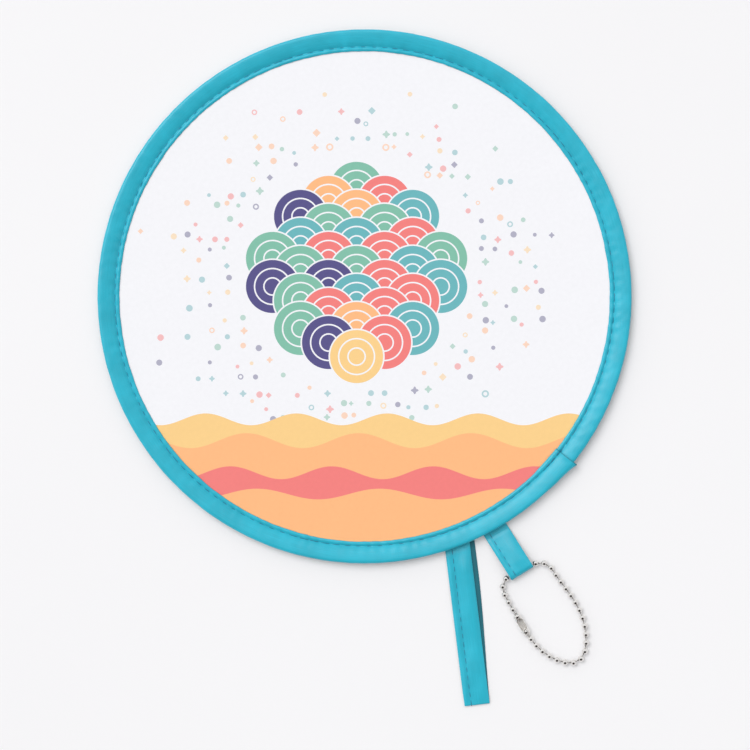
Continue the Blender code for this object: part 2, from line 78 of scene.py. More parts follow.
print("frame", [round((b - a) / MM, 1) for a, b in zip(cad_low, cad_high)], "mm")

# %% [markdown]
# The photograph is taken from straight above, turned so that the straps leave the rim to the lower
# right. A long lens keeps the ring round. Its distance is worked out from the width that the
# picture covers. What a script makes shows only once it is linked into the scene, so one helper
# makes and links every object.

# %% Camera
VIEW_WIDTH = 280.9 * MM
VIEW_CENTRE = Vector((-8.9 * MM, -28.3 * MM, 0))
VIEW_TURN = math.radians(-25.0)
LENS = 100.0
SENSOR = 36.0


def add_object(name, data):
    """A new object that holds the data, linked into the scene."""
    item = bpy.data.objects.new(name, data)
    bpy.context.scene.collection.objects.link(item)
    return item


camera_data = bpy.data.cameras.new("camera")
camera_data.lens = LENS
camera_data.sensor_width = SENSOR
camera = add_object("camera", camera_data)
camera.location = VIEW_CENTRE + Vector((0, 0, VIEW_WIDTH * LENS / SENSOR))
camera.rotation_euler = (0, 0, VIEW_TURN)
bpy.context.scene.camera = camera
print("camera height", round(camera.location.z, 3), "m")

# %% [markdown]
# Node trees are long when each socket is wired by hand. These helpers add one node and wire its
# inputs, so that a material reads like the formula behind it.

# %% Node helpers
# Most of a noise texture's output lies between these two values
NOISE_RANGE = (0.3, 0.7)


def connect(tree, value, socket):
    """Wire a socket to a socket, or set a plain value on it."""
    if isinstance(value, bpy.types.NodeSocket):
        tree.links.new(value, socket)
    else:
        socket.default_value = value


def add_node(tree, kind, inputs=(), **settings):
    """One node, with its settings and its inputs given by name or number."""
    node = tree.nodes.new(kind)
    for name, value in settings.items():
        setattr(node, name, value)
    for name, value in dict(inputs).items():
        connect(tree, value, node.inputs[name])
    return node


def calc(tree, operation, *values):
    """The result of one Math node."""
    return add_node(tree, "ShaderNodeMath", enumerate(values), operation=operation).outputs[0]


def split(tree, vector):
    """A vector's X, Y and Z."""
    return add_node(tree, "ShaderNodeSeparateXYZ", {"Vector": vector}).outputs


def span(tree, step_x, step_y):
    """How far a step in X and Y reaches."""
    squares = [calc(tree, "MULTIPLY", step, step) for step in (step_x, step_y)]
    return calc(tree, "SQRT", calc(tree, "ADD", *squares))


def own_place(tree):
    """Where a point lies on its piece, in metres."""
    return add_node(tree, "ShaderNodeTexCoord").outputs["Object"]


def remap(tree, value, low, high, new_low, new_high):
    """Stretch a value's range to a new one, held at both ends."""
    inputs = {"Value": value, "From Min": low, "From Max": high, "To Min": new_low, "To Max": new_high}
    return add_node(tree, "ShaderNodeMapRange", inputs).outputs["Result"]


def blend_colours(tree, factor, first, second, mode="MIX"):
    """The result of one Mix node on colours."""
    node = add_node(tree, "ShaderNodeMix", data_type="RGBA", blend_type=mode)
    for name, value in (("Factor_Float", factor), ("A_Color", first), ("B_Color", second)):
        socket = next(s for s in node.inputs if s.identifier == name)
        connect(tree, value, socket)
    return next(s for s in node.outputs if s.identifier == "Result_Color")


def shaded(tree, colour, level):
    """A colour made darker or lighter by the same level in each of its channels."""
    grey = add_node(tree, "ShaderNodeCombineColor", {"Red": level, "Green": level, "Blue": level})
    return blend_colours(tree, 1.0, colour, grey.outputs["Color"], "MULTIPLY")


def relief(tree, height, depth):
    """A Bump node's normal, from a height of 0 to 1 that stands for a real depth."""
    inputs = {"Height": height, "Distance": depth, "Strength": 1.0}
    return add_node(tree, "ShaderNodeBump", inputs).outputs["Normal"]


def new_group(name, inputs, outputs, kind="ShaderNodeTree"):
    """A node group; its inputs are (name, socket kind, default) and its outputs (name, socket kind)."""
    tree = bpy.data.node_groups.new(name, kind)
    for label, socket_kind, default in inputs:
        socket = tree.interface.new_socket(label, in_out="INPUT", socket_type=f"NodeSocket{socket_kind}")
        if default is not None:
            socket.default_value = default
    for label, socket_kind in outputs:
        tree.interface.new_socket(label, in_out="OUTPUT", socket_type=f"NodeSocket{socket_kind}")
    print("group", name)
    return tree, tree.nodes.new("NodeGroupInput").outputs, tree.nodes.new("NodeGroupOutput").inputs


def use_group(tree, group, inputs):
    """The outputs of a group that is placed in a tree."""
    return add_node(tree, "ShaderNodeGroup", inputs, node_tree=group).outputs


def new_material(name, roughness, metallic=0.0):
    """A material, with its tree and its Principled shader's inputs."""
    material = bpy.data.materials.new(name)
    material.use_nodes = True
    shader = material.node_tree.nodes["Principled BSDF"]
    shader.inputs["Roughness"].default_value = roughness
    shader.inputs["Metallic"].default_value = metallic
    print("material", name)
    return material, material.node_tree, shader.inputs


# %% [markdown]
# Cloth is threads over and under each other. The group below draws them from a vector in metres:
# two sine waves crossed, and a noise that makes each thread a little unlike the next. Satin tape
# and printed cloth both use it, with their own thread widths.

# %% Weave group
COMMON_THREAD = 0.3 * MM
# How many threads a streak in the weave runs along
STREAK_THREADS = 9.0

weave, given, result = new_group(
    "thread_weave",
    [("Vector", "Vector", None), ("Warp Width", "Float", COMMON_THREAD),
     ("Weft Width", "Float", COMMON_THREAD)],
    [("Height", "Float"), ("Thread Shade", "Float")],
)
axes = split(weave, given["Vector"])
crossing = []
for axis, width in (("X", "Warp Width"), ("Y", "Weft Width")):
    phase = calc(weave, "MULTIPLY", calc(weave, "DIVIDE", axes[axis], given[width]), math.pi)
    crossing.append(calc(weave, "SINE", phase))
over = calc(weave, "MULTIPLY", *crossing)
connect(weave, remap(weave, over, -1.0, 1.0, 0.0, 1.0), result["Height"])
streak_width = calc(weave, "MULTIPLY", given["Warp Width"], STREAK_THREADS)
thread_axes = add_node(weave, "ShaderNodeCombineXYZ", {
    "X": calc(weave, "DIVIDE", axes["X"], streak_width),
    "Y": calc(weave, "DIVIDE", axes["Y"], given["Weft Width"]),
}).outputs["Vector"]
thread_noise = add_node(weave, "ShaderNodeTexNoise", {"Vector": thread_axes, "Scale": 0.8, "Detail": 2.0})
connect(weave, thread_noise.outputs["Fac"], result["Thread Shade"])

# %% [markdown]
# Dyed cloth is never one even colour. This group drifts slowly between lighter and darker, at a
# scale that is set in metres, and is shared by the satin, the thread, the print and the table.

# %% Dye drift group
COMMON_PATCH = 10 * MM

drift, given, result = new_group(
    "dye_drift",
    [("Vector", "Vector", None), ("Colour", "Color", (0.5, 0.5, 0.5, 1.0)),
     ("Patch Size", "Float", COMMON_PATCH), ("Amount", "Float", 0.1)],
    [("Colour", "Color")],
)
patch = add_node(drift, "ShaderNodeTexNoise", {
    "Vector": given["Vector"], "Scale": calc(drift, "DIVIDE", 1.0, given["Patch Size"]), "Detail": 3.0})
low = calc(drift, "SUBTRACT", 1.0, given["Amount"])
high = calc(drift, "ADD", 1.0, given["Amount"])
level = remap(drift, patch.outputs["Fac"], *NOISE_RANGE, low, high)
connect(drift, shaded(drift, given["Colour"], level), result["Colour"])

# %% [markdown]
# Satin shines because its threads float over several others along the tape. The material follows
# the tape through a UV map in metres, so its fine lines run with the tape round every bend. The
# reverse of satin has no floating threads: a face attribute marks it, and it is duller and a little
# deeper in colour, with painted shade on top that darkens it much further.

# %% Satin tape material
TAPE_TEAL = (0.016, 0.470, 0.625, 1.0)
TAPE_UV = "tape_metres"
SATIN_WARP = 0.9 * MM
SATIN_WEFT = 0.16 * MM
SATIN_PATCH = 9 * MM
SATIN_DEPTH = 0.015 * MM
DARKER_DULLER_FACES = "darker_duller_faces"
# How much darker the reverse is: a little of this is the reverse's own deeper colour, most of it is painted shade,
# as on a loop's lower ply beside the upper one
REVERSE_DARKENING_AND_PAINTED_SHADE = 0.70
REVERSE_DULLING = 0.3
THROWN_GREY = (0.42, 0.42, 0.42, 1.0)
THROWN_SHARE = 0.7

satin, tree, satin_in = new_material("teal_satin_tape", roughness=0.42)
tape_run = add_node(tree, "ShaderNodeUVMap", uv_map=TAPE_UV).outputs["UV"]
threads = use_group(tree, weave, {"Vector": tape_run, "Warp Width": SATIN_WARP, "Weft Width": SATIN_WEFT})
dyed = use_group(tree, drift, {
    "Vector": tape_run, "Colour": TAPE_TEAL, "Patch Size": SATIN_PATCH, "Amount": 0.07})["Colour"]
front_colour = shaded(tree, dyed, remap(tree, threads["Thread Shade"], *NOISE_RANGE, 0.93, 1.06))
reverse = add_node(tree, "ShaderNodeAttribute", attribute_name=DARKER_DULLER_FACES).outputs["Fac"]
# Faces marked by the attribute are made darker here; on the reverse side this is mostly painted shade
depth = calc(tree, "SUBTRACT", 1.0, calc(tree, "MULTIPLY", reverse, REVERSE_DARKENING_AND_PAINTED_SHADE))
tape_colour_with_painted_shade = shaded(tree, front_colour, depth)
# Light that the tape throws on the white table is greyer, or the table would turn blue beside it
light_path = add_node(tree, "ShaderNodeLightPath").outputs
thrown = calc(tree, "MULTIPLY", light_path["Is Diffuse Ray"], THROWN_SHARE)
connect(tree, blend_colours(tree, thrown, tape_colour_with_painted_shade, THROWN_GREY), satin_in["Base Color"])
front_gloss = remap(tree, threads["Thread Shade"], 0.25, 0.75, 0.28, 0.40)
dulling = calc(tree, "MULTIPLY", reverse, REVERSE_DULLING)
connect(tree, calc(tree, "ADD", front_gloss, dulling), satin_in["Roughness"])
connect(tree, relief(tree, threads["Height"], SATIN_DEPTH), satin_in["Normal"])
satin_in["Sheen Weight"].default_value = 0.08
satin_in["Sheen Roughness"].default_value = 0.35
satin_in["Sheen Tint"].default_value = (0.55, 0.90, 1.0, 1.0)

# %% [markdown]
# The sewing thread is polyester too, a shade deeper than the tape. Its two plies are twisted, which
# shows as slanted lines along each stitch.

# %% Thread material
THREAD_TEAL = (0.008, 0.190, 0.320, 1.0)
THREAD_PATCH = 3 * MM
TWIST_DEPTH = 0.02 * MM
TWIST_SCALE = 900.0

thread, tree, thread_in = new_material("teal_thread", roughness=0.5)
place = own_place(tree)
twist = add_node(tree, "ShaderNodeTexWave", {"Vector": place, "Scale": TWIST_SCALE, "Distortion": 1.0},
                 bands_direction="DIAGONAL")
dyed = use_group(tree, drift, {
    "Vector": place, "Colour": THREAD_TEAL, "Patch Size": THREAD_PATCH, "Amount": 0.12})
connect(tree, dyed["Colour"], thread_in["Base Color"])
connect(tree, relief(tree, twist.outputs["Fac"], TWIST_DEPTH), thread_in["Normal"])
thread_in["Sheen Weight"].default_value = 0.2

# %% [markdown]
# Metal is told by what it mirrors. The chain is nickel plated and polished, with faint rubbing
# marks, and the inside of its connector is left unpolished, in a lighter colour that is painted
# light inside the sleeve. The hoop and its sleeve are plain rolled steel, hidden in the binding.
# All share a group that stretches a noise into fine lines.

# %% Metal group and materials
COMMON_MARK = 0.1 * MM
MARK_STRETCH = (1.0, 1.0, 12.0)
# Colour, roughness, and the width and depth of the rubbing marks
METALS = {
    "polished_nickel": ((0.88, 0.86, 0.83, 1.0), 0.08, 0.15 * MM, 0.0015 * MM),
    # The connector's inside is rougher, and its colour is lighter than the polished nickel's as painted light
    # inside the sleeve
    "unpolished_nickel_painted_lighter": ((0.96, 0.94, 0.91, 1.0), 0.50, 0.06 * MM, 0.004 * MM),
    "rolled_spring_steel": ((0.50, 0.51, 0.54, 1.0), 0.32, 0.08 * MM, 0.004 * MM),
}

rubbing, given, result = new_group(
    "rubbed_metal",
    [("Vector", "Vector", None), ("Line Width", "Float", COMMON_MARK), ("Roughness", "Float", 0.2)],
    [("Height", "Float"), ("Roughness", "Float")],
)
stretch = add_node(rubbing, "ShaderNodeMapping", {"Vector": given["Vector"], "Scale": MARK_STRETCH})
lines = add_node(rubbing, "ShaderNodeTexNoise", {
    "Vector": stretch.outputs["Vector"], "Scale": calc(rubbing, "DIVIDE", 0.1, given["Line Width"]),
    "Detail": 4.0})
connect(rubbing, lines.outputs["Fac"], result["Height"])
spread = remap(rubbing, lines.outputs["Fac"], *NOISE_RANGE, 0.7, 1.4)
connect(rubbing, calc(rubbing, "MULTIPLY", spread, given["Roughness"]), result["Roughness"])


def metal(name, colour, roughness, mark_width, mark_depth):
    """A metal whose tone, roughness and relief follow its rubbing marks."""
    material, tree, sockets = new_material(name, roughness, metallic=1.0)
    marks = use_group(tree, rubbing, {
        "Vector": own_place(tree), "Line Width": mark_width, "Roughness": roughness})
    tone = remap(tree, marks["Height"], *NOISE_RANGE, 0.94, 1.04)
    connect(tree, shaded(tree, colour, tone), sockets["Base Color"])
    connect(tree, marks["Roughness"], sockets["Roughness"])
    connect(tree, relief(tree, marks["Height"], mark_depth), sockets["Normal"])
    return material


nickel, bare_nickel_painted_lighter, steel = (metal(name, *look) for name, look in METALS.items())
for node_name in ("spring_hoop", "hoop_ferrule"):
    cad_mesh = frame["nodes"][node_name].data
    cad_mesh.materials.clear()
    cad_mesh.materials.append(steel)

# %% [markdown]
# The print is ink that soaked into white cloth, so it is drawn by the material and has no
# thickness. Positions are in millimetres on the disc, turned so that the picture stands upright
# in the photograph's view. It has three parts: a medallion of overlapping scales, bands of waves
# below it, and confetti round it.

# %% Print colours and coordinates
INKS = {
    "coral": (0.91, 0.215, 0.205, 1.0),
    "peach": (1.00, 0.500, 0.225, 1.0),
    "yellow": (0.97, 0.640, 0.260, 1.0),
    "teal": (0.140, 0.470, 0.510, 1.0),
    "mint": (0.220, 0.530, 0.400, 1.0),
    "plum": (0.090, 0.078, 0.250, 1.0),
}
CLOTH_WHITE = (0.915, 0.915, 0.95, 1.0)

cloth, tree, cloth_in = new_material("printed_polyester", roughness=0.72)
place = own_place(tree)
upright = add_node(tree, "ShaderNodeMapping", {
    "Vector": place, "Rotation": (0, 0, -VIEW_TURN), "Scale": (1 / MM, 1 / MM, 0)}).outputs["Vector"]
upright_axes = split(tree, upright)


def ink_from(value, names):
    """One of the inks, picked by a value from 0 to 1."""
    ramp = add_node(tree, "ShaderNodeValToRGB", {"Fac": value})
    ramp.color_ramp.interpolation = "CONSTANT"
    stops = ramp.color_ramp.elements
    while len(stops) < len(names):
        stops.new(0)
    for i, name in enumerate(names):
        stops[i].position = i / len(names)
        stops[i].color = INKS[name]
    return ramp.outputs["Color"]


# %% [markdown]
# Overlapping scales are an old traditional pattern: rows of circles, each row half a circle aside
# of the next and in front of the one above. Four rows can reach a point, so all four are painted,
# from the back one to the front one. White rings are cut into each scale by its distance.

# %% Scale medallion
SCALE_RADIUS = 10.5
SCALE_SEED = 3.7
MEDALLION_RADIUS = 33.0
MEDALLION_CENTRE = (-3.0, 9.0)
RING_COUNT = 3.0
WHITE_RING_START = 0.84


def from_medallion(axes):
    """X and Y, measured from the medallion's centre."""
    return [calc(tree, "SUBTRACT", axes[axis], middle) for axis, middle in zip("XY", MEDALLION_CENTRE)]


def scale_row(row_offset):
    """Where the nearest circle of one row covers the cloth, and its colour there."""
    row_height = SCALE_RADIUS / 2
    local_x, local_y = from_medallion(upright_axes)
    row = calc(tree, "ADD", calc(tree, "FLOOR", calc(tree, "DIVIDE", local_y, row_height)), row_offset)
    centre_y = calc(tree, "MULTIPLY", row, row_height)
    aside = calc(tree, "MULTIPLY", calc(tree, "FLOORED_MODULO", row, 2.0), SCALE_RADIUS)
    local_x = calc(tree, "SUBTRACT", local_x, aside)
    column = calc(tree, "ROUND", calc(tree, "DIVIDE", local_x, 2 * SCALE_RADIUS))
    centre_x = calc(tree, "MULTIPLY", column, 2 * SCALE_RADIUS)
    step = span(tree, calc(tree, "SUBTRACT", local_x, centre_x), calc(tree, "SUBTRACT", local_y, centre_y))
    distance = calc(tree, "DIVIDE", step, SCALE_RADIUS)
    whole_x = calc(tree, "ADD", centre_x, aside)
    in_medallion = calc(tree, "LESS_THAN", span(tree, whole_x, centre_y), MEDALLION_RADIUS)
    covers = calc(tree, "MULTIPLY", calc(tree, "LESS_THAN", distance, 1.0), in_medallion)
    cell = add_node(tree, "ShaderNodeCombineXYZ", {"X": whole_x, "Y": centre_y, "Z": SCALE_SEED})
    pick = add_node(tree, "ShaderNodeTexWhiteNoise", {"Vector": cell.outputs["Vector"]})
    ink = ink_from(pick.outputs["Value"], ("teal", "coral", "yellow", "mint", "plum", "peach"))
    ring = calc(tree, "FRACT", calc(tree, "MULTIPLY", distance, RING_COUNT))
    white_ring = calc(tree, "GREATER_THAN", ring, WHITE_RING_START)
    return covers, blend_colours(tree, white_ring, ink, CLOTH_WHITE)


picture = CLOTH_WHITE
for row_offset in (2.0, 1.0, 0.0, -1.0):
    covers, scale_ink = scale_row(row_offset)
    picture = blend_colours(tree, covers, picture, scale_ink)
print("medallion", 2 * MEDALLION_RADIUS, "mm across, scales of", 2 * SCALE_RADIUS, "mm")

# %% [markdown]
# Confetti comes from one Voronoi texture. It gives every cell a point and a random colour. The
# step from that point draws the shape, and the colour's channels pick its size, its ink and whether
# it is printed at all, so that the confetti thins out away from the medallion. Because each cell
# holds one shape only, none of them overlap.

# %% Confetti
CONFETTI_CELL = 5.3
CONFETTI_SCATTER = 0.62
CONFETTI_SIZES = (0.7, 1.25)
CONFETTI_INNER = MEDALLION_RADIUS + 12
CONFETTI_OUTER = MEDALLION_RADIUS + 42
THINNEST = 0.97
PASTEL_SHARE = 0.42
# A shape is drawn where its outline value is less than the size
DIAMOND_SLOPE = 0.8
STAR_POINTS = 4.0
STAR_SLOPES = (1.35, 0.82)
RING_MIDDLE = 0.9
RING_SLOPE = 2.6
RING_BASE = 0.3

cells = add_node(tree, "ShaderNodeTexVoronoi", {
    "Vector": upright, "Scale": 1 / CONFETTI_CELL, "Randomness": CONFETTI_SCATTER},
    voronoi_dimensions="2D").outputs
from_centre = span(tree, *from_medallion(split(tree, cells["Position"])))
step = add_node(tree, "ShaderNodeVectorMath", {0: upright, 1: cells["Position"]}, operation="SUBTRACT")
step_axes = split(tree, step.outputs["Vector"])
chance = add_node(tree, "ShaderNodeSeparateColor", {"Color": cells["Color"]}).outputs
shape_pick = add_node(tree, "ShaderNodeTexWhiteNoise", {"Vector": cells["Color"]}).outputs["Value"]
size = remap(tree, chance["Red"], 0.0, 1.0, *CONFETTI_SIZES)

reach = span(tree, step_axes["X"], step_axes["Y"])
flat_steps = [calc(tree, "ABSOLUTE", step_axes[axis]) for axis in "XY"]
diamond = calc(tree, "MULTIPLY", DIAMOND_SLOPE, calc(tree, "ADD", *flat_steps))
bearing = calc(tree, "ARCTAN2", step_axes["Y"], step_axes["X"])
points = calc(tree, "COSINE", calc(tree, "MULTIPLY", bearing, STAR_POINTS))
star = calc(tree, "MULTIPLY", reach, remap(tree, points, -1.0, 1.0, *STAR_SLOPES))
band = calc(tree, "ABSOLUTE", calc(tree, "SUBTRACT", reach, calc(tree, "MULTIPLY", size, RING_MIDDLE)))
ring = calc(tree, "ADD", calc(tree, "MULTIPLY", band, RING_SLOPE), calc(tree, "MULTIPLY", size, RING_BASE))
outline = reach
for first_share, shape in ((0.55, diamond), (0.72, star), (0.90, ring)):
    chosen = calc(tree, "GREATER_THAN", shape_pick, first_share)
    outline = add_node(tree, "ShaderNodeMix", {0: chosen, 2: outline, 3: shape}).outputs[0]

thinning = remap(tree, from_centre, CONFETTI_INNER, CONFETTI_OUTER, 0.0, THINNEST)
kept = calc(tree, "GREATER_THAN", chance["Blue"], thinning)
outside = calc(tree, "GREATER_THAN", from_centre, CONFETTI_INNER)
printed = calc(tree, "MULTIPLY", kept, outside)
confetti = calc(tree, "MULTIPLY", calc(tree, "LESS_THAN", outline, size), printed)
confetti_ink = ink_from(chance["Green"], ("coral", "teal", "yellow", "plum", "mint", "peach"))
pastel = blend_colours(tree, PASTEL_SHARE, confetti_ink, CLOTH_WHITE)
picture = blend_colours(tree, confetti, picture, pastel)
print("confetti of", CONFETTI_SIZES, "mm, from", CONFETTI_INNER, "to", CONFETTI_OUTER, "mm out")

# %% [markdown]
# Each wave band covers all that lies below its own sine line. A noise as fine as the cloth breaks
# the ink up a little, as a real print shows.

# %% Wave bands and ink texture
# Ink, height of the middle line, swing and length in millimetres, and phase
WAVES = (
    ("yellow", -46.0, 2.2, 34.0, 0.0),
    ("peach", -54.0, 2.8, 42.0, 1.9),
    ("coral", -66.0, 2.4, 38.0, 3.6),
    ("peach", -74.0, 2.0, 46.0, 0.8),
)
INK_PATCH = 1.6 * MM
CLOTH_THREAD = 0.22 * MM
CLOTH_DEPTH = 0.01 * MM
PRINT_SIDE = "print_side"

for ink_name, middle, swing, length, phase in WAVES:
    turn = calc(tree, "ADD", calc(tree, "MULTIPLY", upright_axes["X"], 2 * math.pi / length), phase)
    edge = calc(tree, "ADD", calc(tree, "MULTIPLY", calc(tree, "SINE", turn), swing), middle)
    below = calc(tree, "LESS_THAN", upright_axes["Y"], edge)
    picture = blend_colours(tree, below, picture, INKS[ink_name])

inked = use_group(tree, drift, {
    "Vector": place, "Colour": picture, "Patch Size": INK_PATCH, "Amount": 0.012})["Colour"]
side = add_node(tree, "ShaderNodeAttribute", attribute_name=PRINT_SIDE).outputs["Fac"]
threads = use_group(tree, weave, {
    "Vector": place, "Warp Width": CLOTH_THREAD, "Weft Width": CLOTH_THREAD})
roughness = remap(tree, threads["Thread Shade"], *NOISE_RANGE, 0.66, 0.8)
connect(tree, blend_colours(tree, side, CLOTH_WHITE, inked), cloth_in["Base Color"])
connect(tree, relief(tree, threads["Height"], CLOTH_DEPTH), cloth_in["Normal"])
connect(tree, roughness, cloth_in["Roughness"])
cloth_in["Sheen Weight"].default_value = 0.1
print("print drawn with", len(tree.nodes), "nodes")

# %% [markdown]
# Every cloth piece here is a grid of points: rows along its length, and columns across it. One
# helper turns such rows into a smooth mesh, with a UV map that measures the cloth in metres.

# %% Grid helper
def write_mesh(shape, mesh):
    """Move a bmesh's faces into a mesh, turned outward and shaded smooth."""
    bmesh.ops.recalc_face_normals(shape, faces=shape.faces)
    shape.to_mesh(mesh)
    shape.free()
    mesh.shade_smooth()
    return mesh


def cloth_grid(name, rows, runs, across, closed_columns=False, reverse_from=None):
    """A mesh from rows of points; runs and across give the UV of each row and column.

    Columns from reverse_from on are the tape's reverse side, for the material.
    """
    width = len(rows[0])
    row_steps = len(rows) - 1
    column_steps = width if closed_columns else width - 1
    faces = []
    uvs = []
    for i in range(row_steps):
        for j in range(column_steps):
            n = (j + 1) % width
            faces.append((i * width + j, i * width + n, (i + 1) * width + n, (i + 1) * width + j))
            uvs += [(runs[i], across[j]), (runs[i], across[j + 1]),
                    (runs[i + 1], across[j + 1]), (runs[i + 1], across[j])]
    if closed_columns:
        for i in (0, row_steps):
            faces.append(tuple(range(i * width, (i + 1) * width)))
            uvs += [(runs[i], value) for value in across[:width]]
    mesh = bpy.data.meshes.new(name)
    mesh.from_pydata([point for row in rows for point in row], [], faces)
    layer = mesh.uv_layers.new(name=TAPE_UV)
    for loop, uv in zip(layer.data, uvs):
        loop.uv = uv
    if reverse_from is not None:
        reverse = mesh.attributes.new(DARKER_DULLER_FACES, "FLOAT", "FACE")
        for k in range(row_steps * column_steps):
            reverse.data[k].value = float(k % column_steps >= reverse_from)
    shape = bmesh.new()
    shape.from_mesh(mesh)
    return write_mesh(shape, mesh)


def add_piece(name, mesh, material):
    piece = add_object(name, mesh)
    mesh.materials.clear()
    mesh.materials.append(material)
    print(name, len(mesh.polygons), "faces")
    return piece


# %% [markdown]
# Cloth under tension is nearly even, and its life is in small waves. A step and a bell fade such
# waves in and out, and a ripple makes them uneven. The other functions draw a smooth line through a
# few given points, and measure it.

# %% Shape helpers
def smooth_step(value, low, high):
    """From 0 at low to 1 at high, with soft ends."""
    share = min(max((value - low) / (high - low), 0), 1)
    return share * share * (3 - 2 * share)


def bell(distance, reach):
    """1 at no distance, fading to nothing past the reach."""
    return math.exp(-(distance / reach) ** 2)


def ripple(x, y, z):
    """A smooth noise from about -1 to 1, in which places far apart are unlike."""
    return noise.noise(Vector((x, y, z)))


def smooth_line(points, steps):
    """Points on a smooth curve through the given ones, with some steps for each stretch."""
    line = []
    for i in range(len(points) - 1):
        before = points[max(i - 1, 0)]
        start = points[i]
        end = points[i + 1]
        after = points[min(i + 2, len(points) - 1)]
        for k in range(steps):
            t = k / steps
            line.append(tuple(
                (2 * s + (e - b) * t + (2 * b - 5 * s + 4 * e - a) * t ** 2
                 + (3 * s - b - 3 * e + a) * t ** 3) / 2
                for b, s, e, a in zip(before, start, end, after)))
    line.append(tuple(points[-1]))
    return line


def line_normals(line):
    """The outward direction at each point of a section line."""
    normals = []
    for i in range(len(line)):
        before = line[max(i - 1, 0)]
        after = line[min(i + 1, len(line) - 1)]
        step = Vector((after[0] - before[0], after[1] - before[1])).normalized()
        normals.append((-step.y, step.x))
    return normals


def running_lengths(line):
    """The length along a line at each of its points."""
    lengths = [0.0]
    for a, b in zip(line, line[1:]):
        lengths.append(lengths[-1] + math.dist(a, b))
    return lengths


def on_circle(radius, angle, level):
    """A point round the rim; angles start at -Y and run towards +X."""
    return Vector((math.sin(angle) * radius, -math.cos(angle) * radius, level))


# %% [markdown]
# The tape of the binding is folded over the hoop and the cloth's edge. Its section is flat where it
# is sewn, rises over the hoop and turns round the rim. The seam draws the tape in at every stitch,
# and the tape answers with small puckers that fade out towards the hoop. They are real waves in
# the mesh, so that they catch the light from any side.

# %% Binding section
FAN_RADIUS = 100.0 * MM
CLOTH_LEVEL = -0.1 * MM
TAPE_PLY = 0.22 * MM
SEAM_RADIUS = 93.5 * MM
STITCH_PITCH = 4.1 * MM
RIM_RUN = 2 * math.pi * FAN_RADIUS
LAP_RUN = 9.0 * MM
LAP_END = math.radians(26.6)
LAP_START = LAP_END - LAP_RUN / FAN_RADIUS
BINDING_RUN = RIM_RUN + LAP_RUN

# Radius and height over the middle of the cloth, in millimetres, from the inner edge to the rim
RIM_LINE = (
    (91.80, 0.30), (92.02, 0.56), (92.50, 0.75), (93.05, 0.64), (93.50, 0.30), (93.90, 0.52),
    (94.50, 0.86), (95.60, 1.27), (96.90, 1.55), (98.10, 1.71), (98.95, 1.75), (99.50, 1.58),
    (99.85, 1.15), (99.98, 0.55), (100.0, 0.0),
)
RIM_STEPS = 2


def rim_profile():
    """Both halves of the tape's outside, as (radius, height) in metres, top first."""
    top = smooth_line(RIM_LINE, RIM_STEPS)
    line = top + [(radius, -height) for radius, height in reversed(top[:-1])]
    return [(radius * MM, height * MM) for radius, height in line]


RIM_PROFILE = rim_profile()
RIM_NORMALS = line_normals(RIM_PROFILE)
print("binding section", len(RIM_PROFILE), "points")

# %% Binding relief
# Heights, and reaches from the seam, in millimetres. A wave is a length along the tape, and what is
# called across is one in millimetres across it.
PUCKER = 0.16
PUCKER_WAVE = 2.3 * MM
PUCKER_ACROSS = 5
PUCKER_REACH = 2.4
STITCH_PUCKER = 0.05
HOLE = -0.10
HOLE_REACH = 0.45
DRAG = 0.075
DRAG_LEAN = 0.9
DRAG_WAVE = 3.1 * MM
DRAG_ACROSS = 11
DRAG_RISE = (0.2, 3.0)
SWELL = 0.05
SWELL_WAVE = 21 * MM
SWELL_ACROSS = 8

# The lapped end: its rise over the first end, its free corner and its curl, each with its run
LAP_GAP = 0.10 * MM
LAP_RISE = (-7.0 * MM, -0.2 * MM)
CORNER_SPRING = 0.9 * MM
CORNER_RUN = 8 * MM
CORNER_START = 96.5 * MM
CORNER_LEAST = 0.3
END_CURL = 0.35 * MM
CURL_RUN = 3.5 * MM
CURL_RISE = (94 * MM, 95.5 * MM)

# The inner edge isn't cut quite evenly
EDGE_WANDER = 0.10 * MM
WANDER_WAVE = 7 * MM
WANDER_FADE = (91.8 * MM, 93 * MM)


def tape_relief(run, radius, height):
    """How far the tape stands out from its even shape at a point, in metres."""
    side = 1.0 if height > 0 else -1.0
    from_seam = (radius - SEAM_RADIUS) / MM
    between = -math.cos(2 * math.pi * run / STITCH_PITCH)
    uneven = ripple(run / PUCKER_WAVE, from_seam / PUCKER_ACROSS, 7 * side)
    pucker = (STITCH_PUCKER * between + PUCKER * uneven) * bell(from_seam, PUCKER_REACH)
    hole = HOLE * (0.5 - 0.5 * between) * bell(from_seam, HOLE_REACH)
    slant = (run - DRAG_LEAN * side * (radius - SEAM_RADIUS)) / DRAG_WAVE
    drag = DRAG * ripple(slant, from_seam / DRAG_ACROSS, 23 + 5 * side) * smooth_step(from_seam, *DRAG_RISE)
    swell = SWELL * ripple(run / SWELL_WAVE, 3 * side, from_seam / SWELL_ACROSS)
    return (pucker + hole + drag + swell) * MM


def tape_lift(past_start):
    """How far the lapped end stands off the tape below it; past_start is the run beyond a full turn."""
    return (TAPE_PLY + LAP_GAP) * smooth_step(past_start, *LAP_RISE)


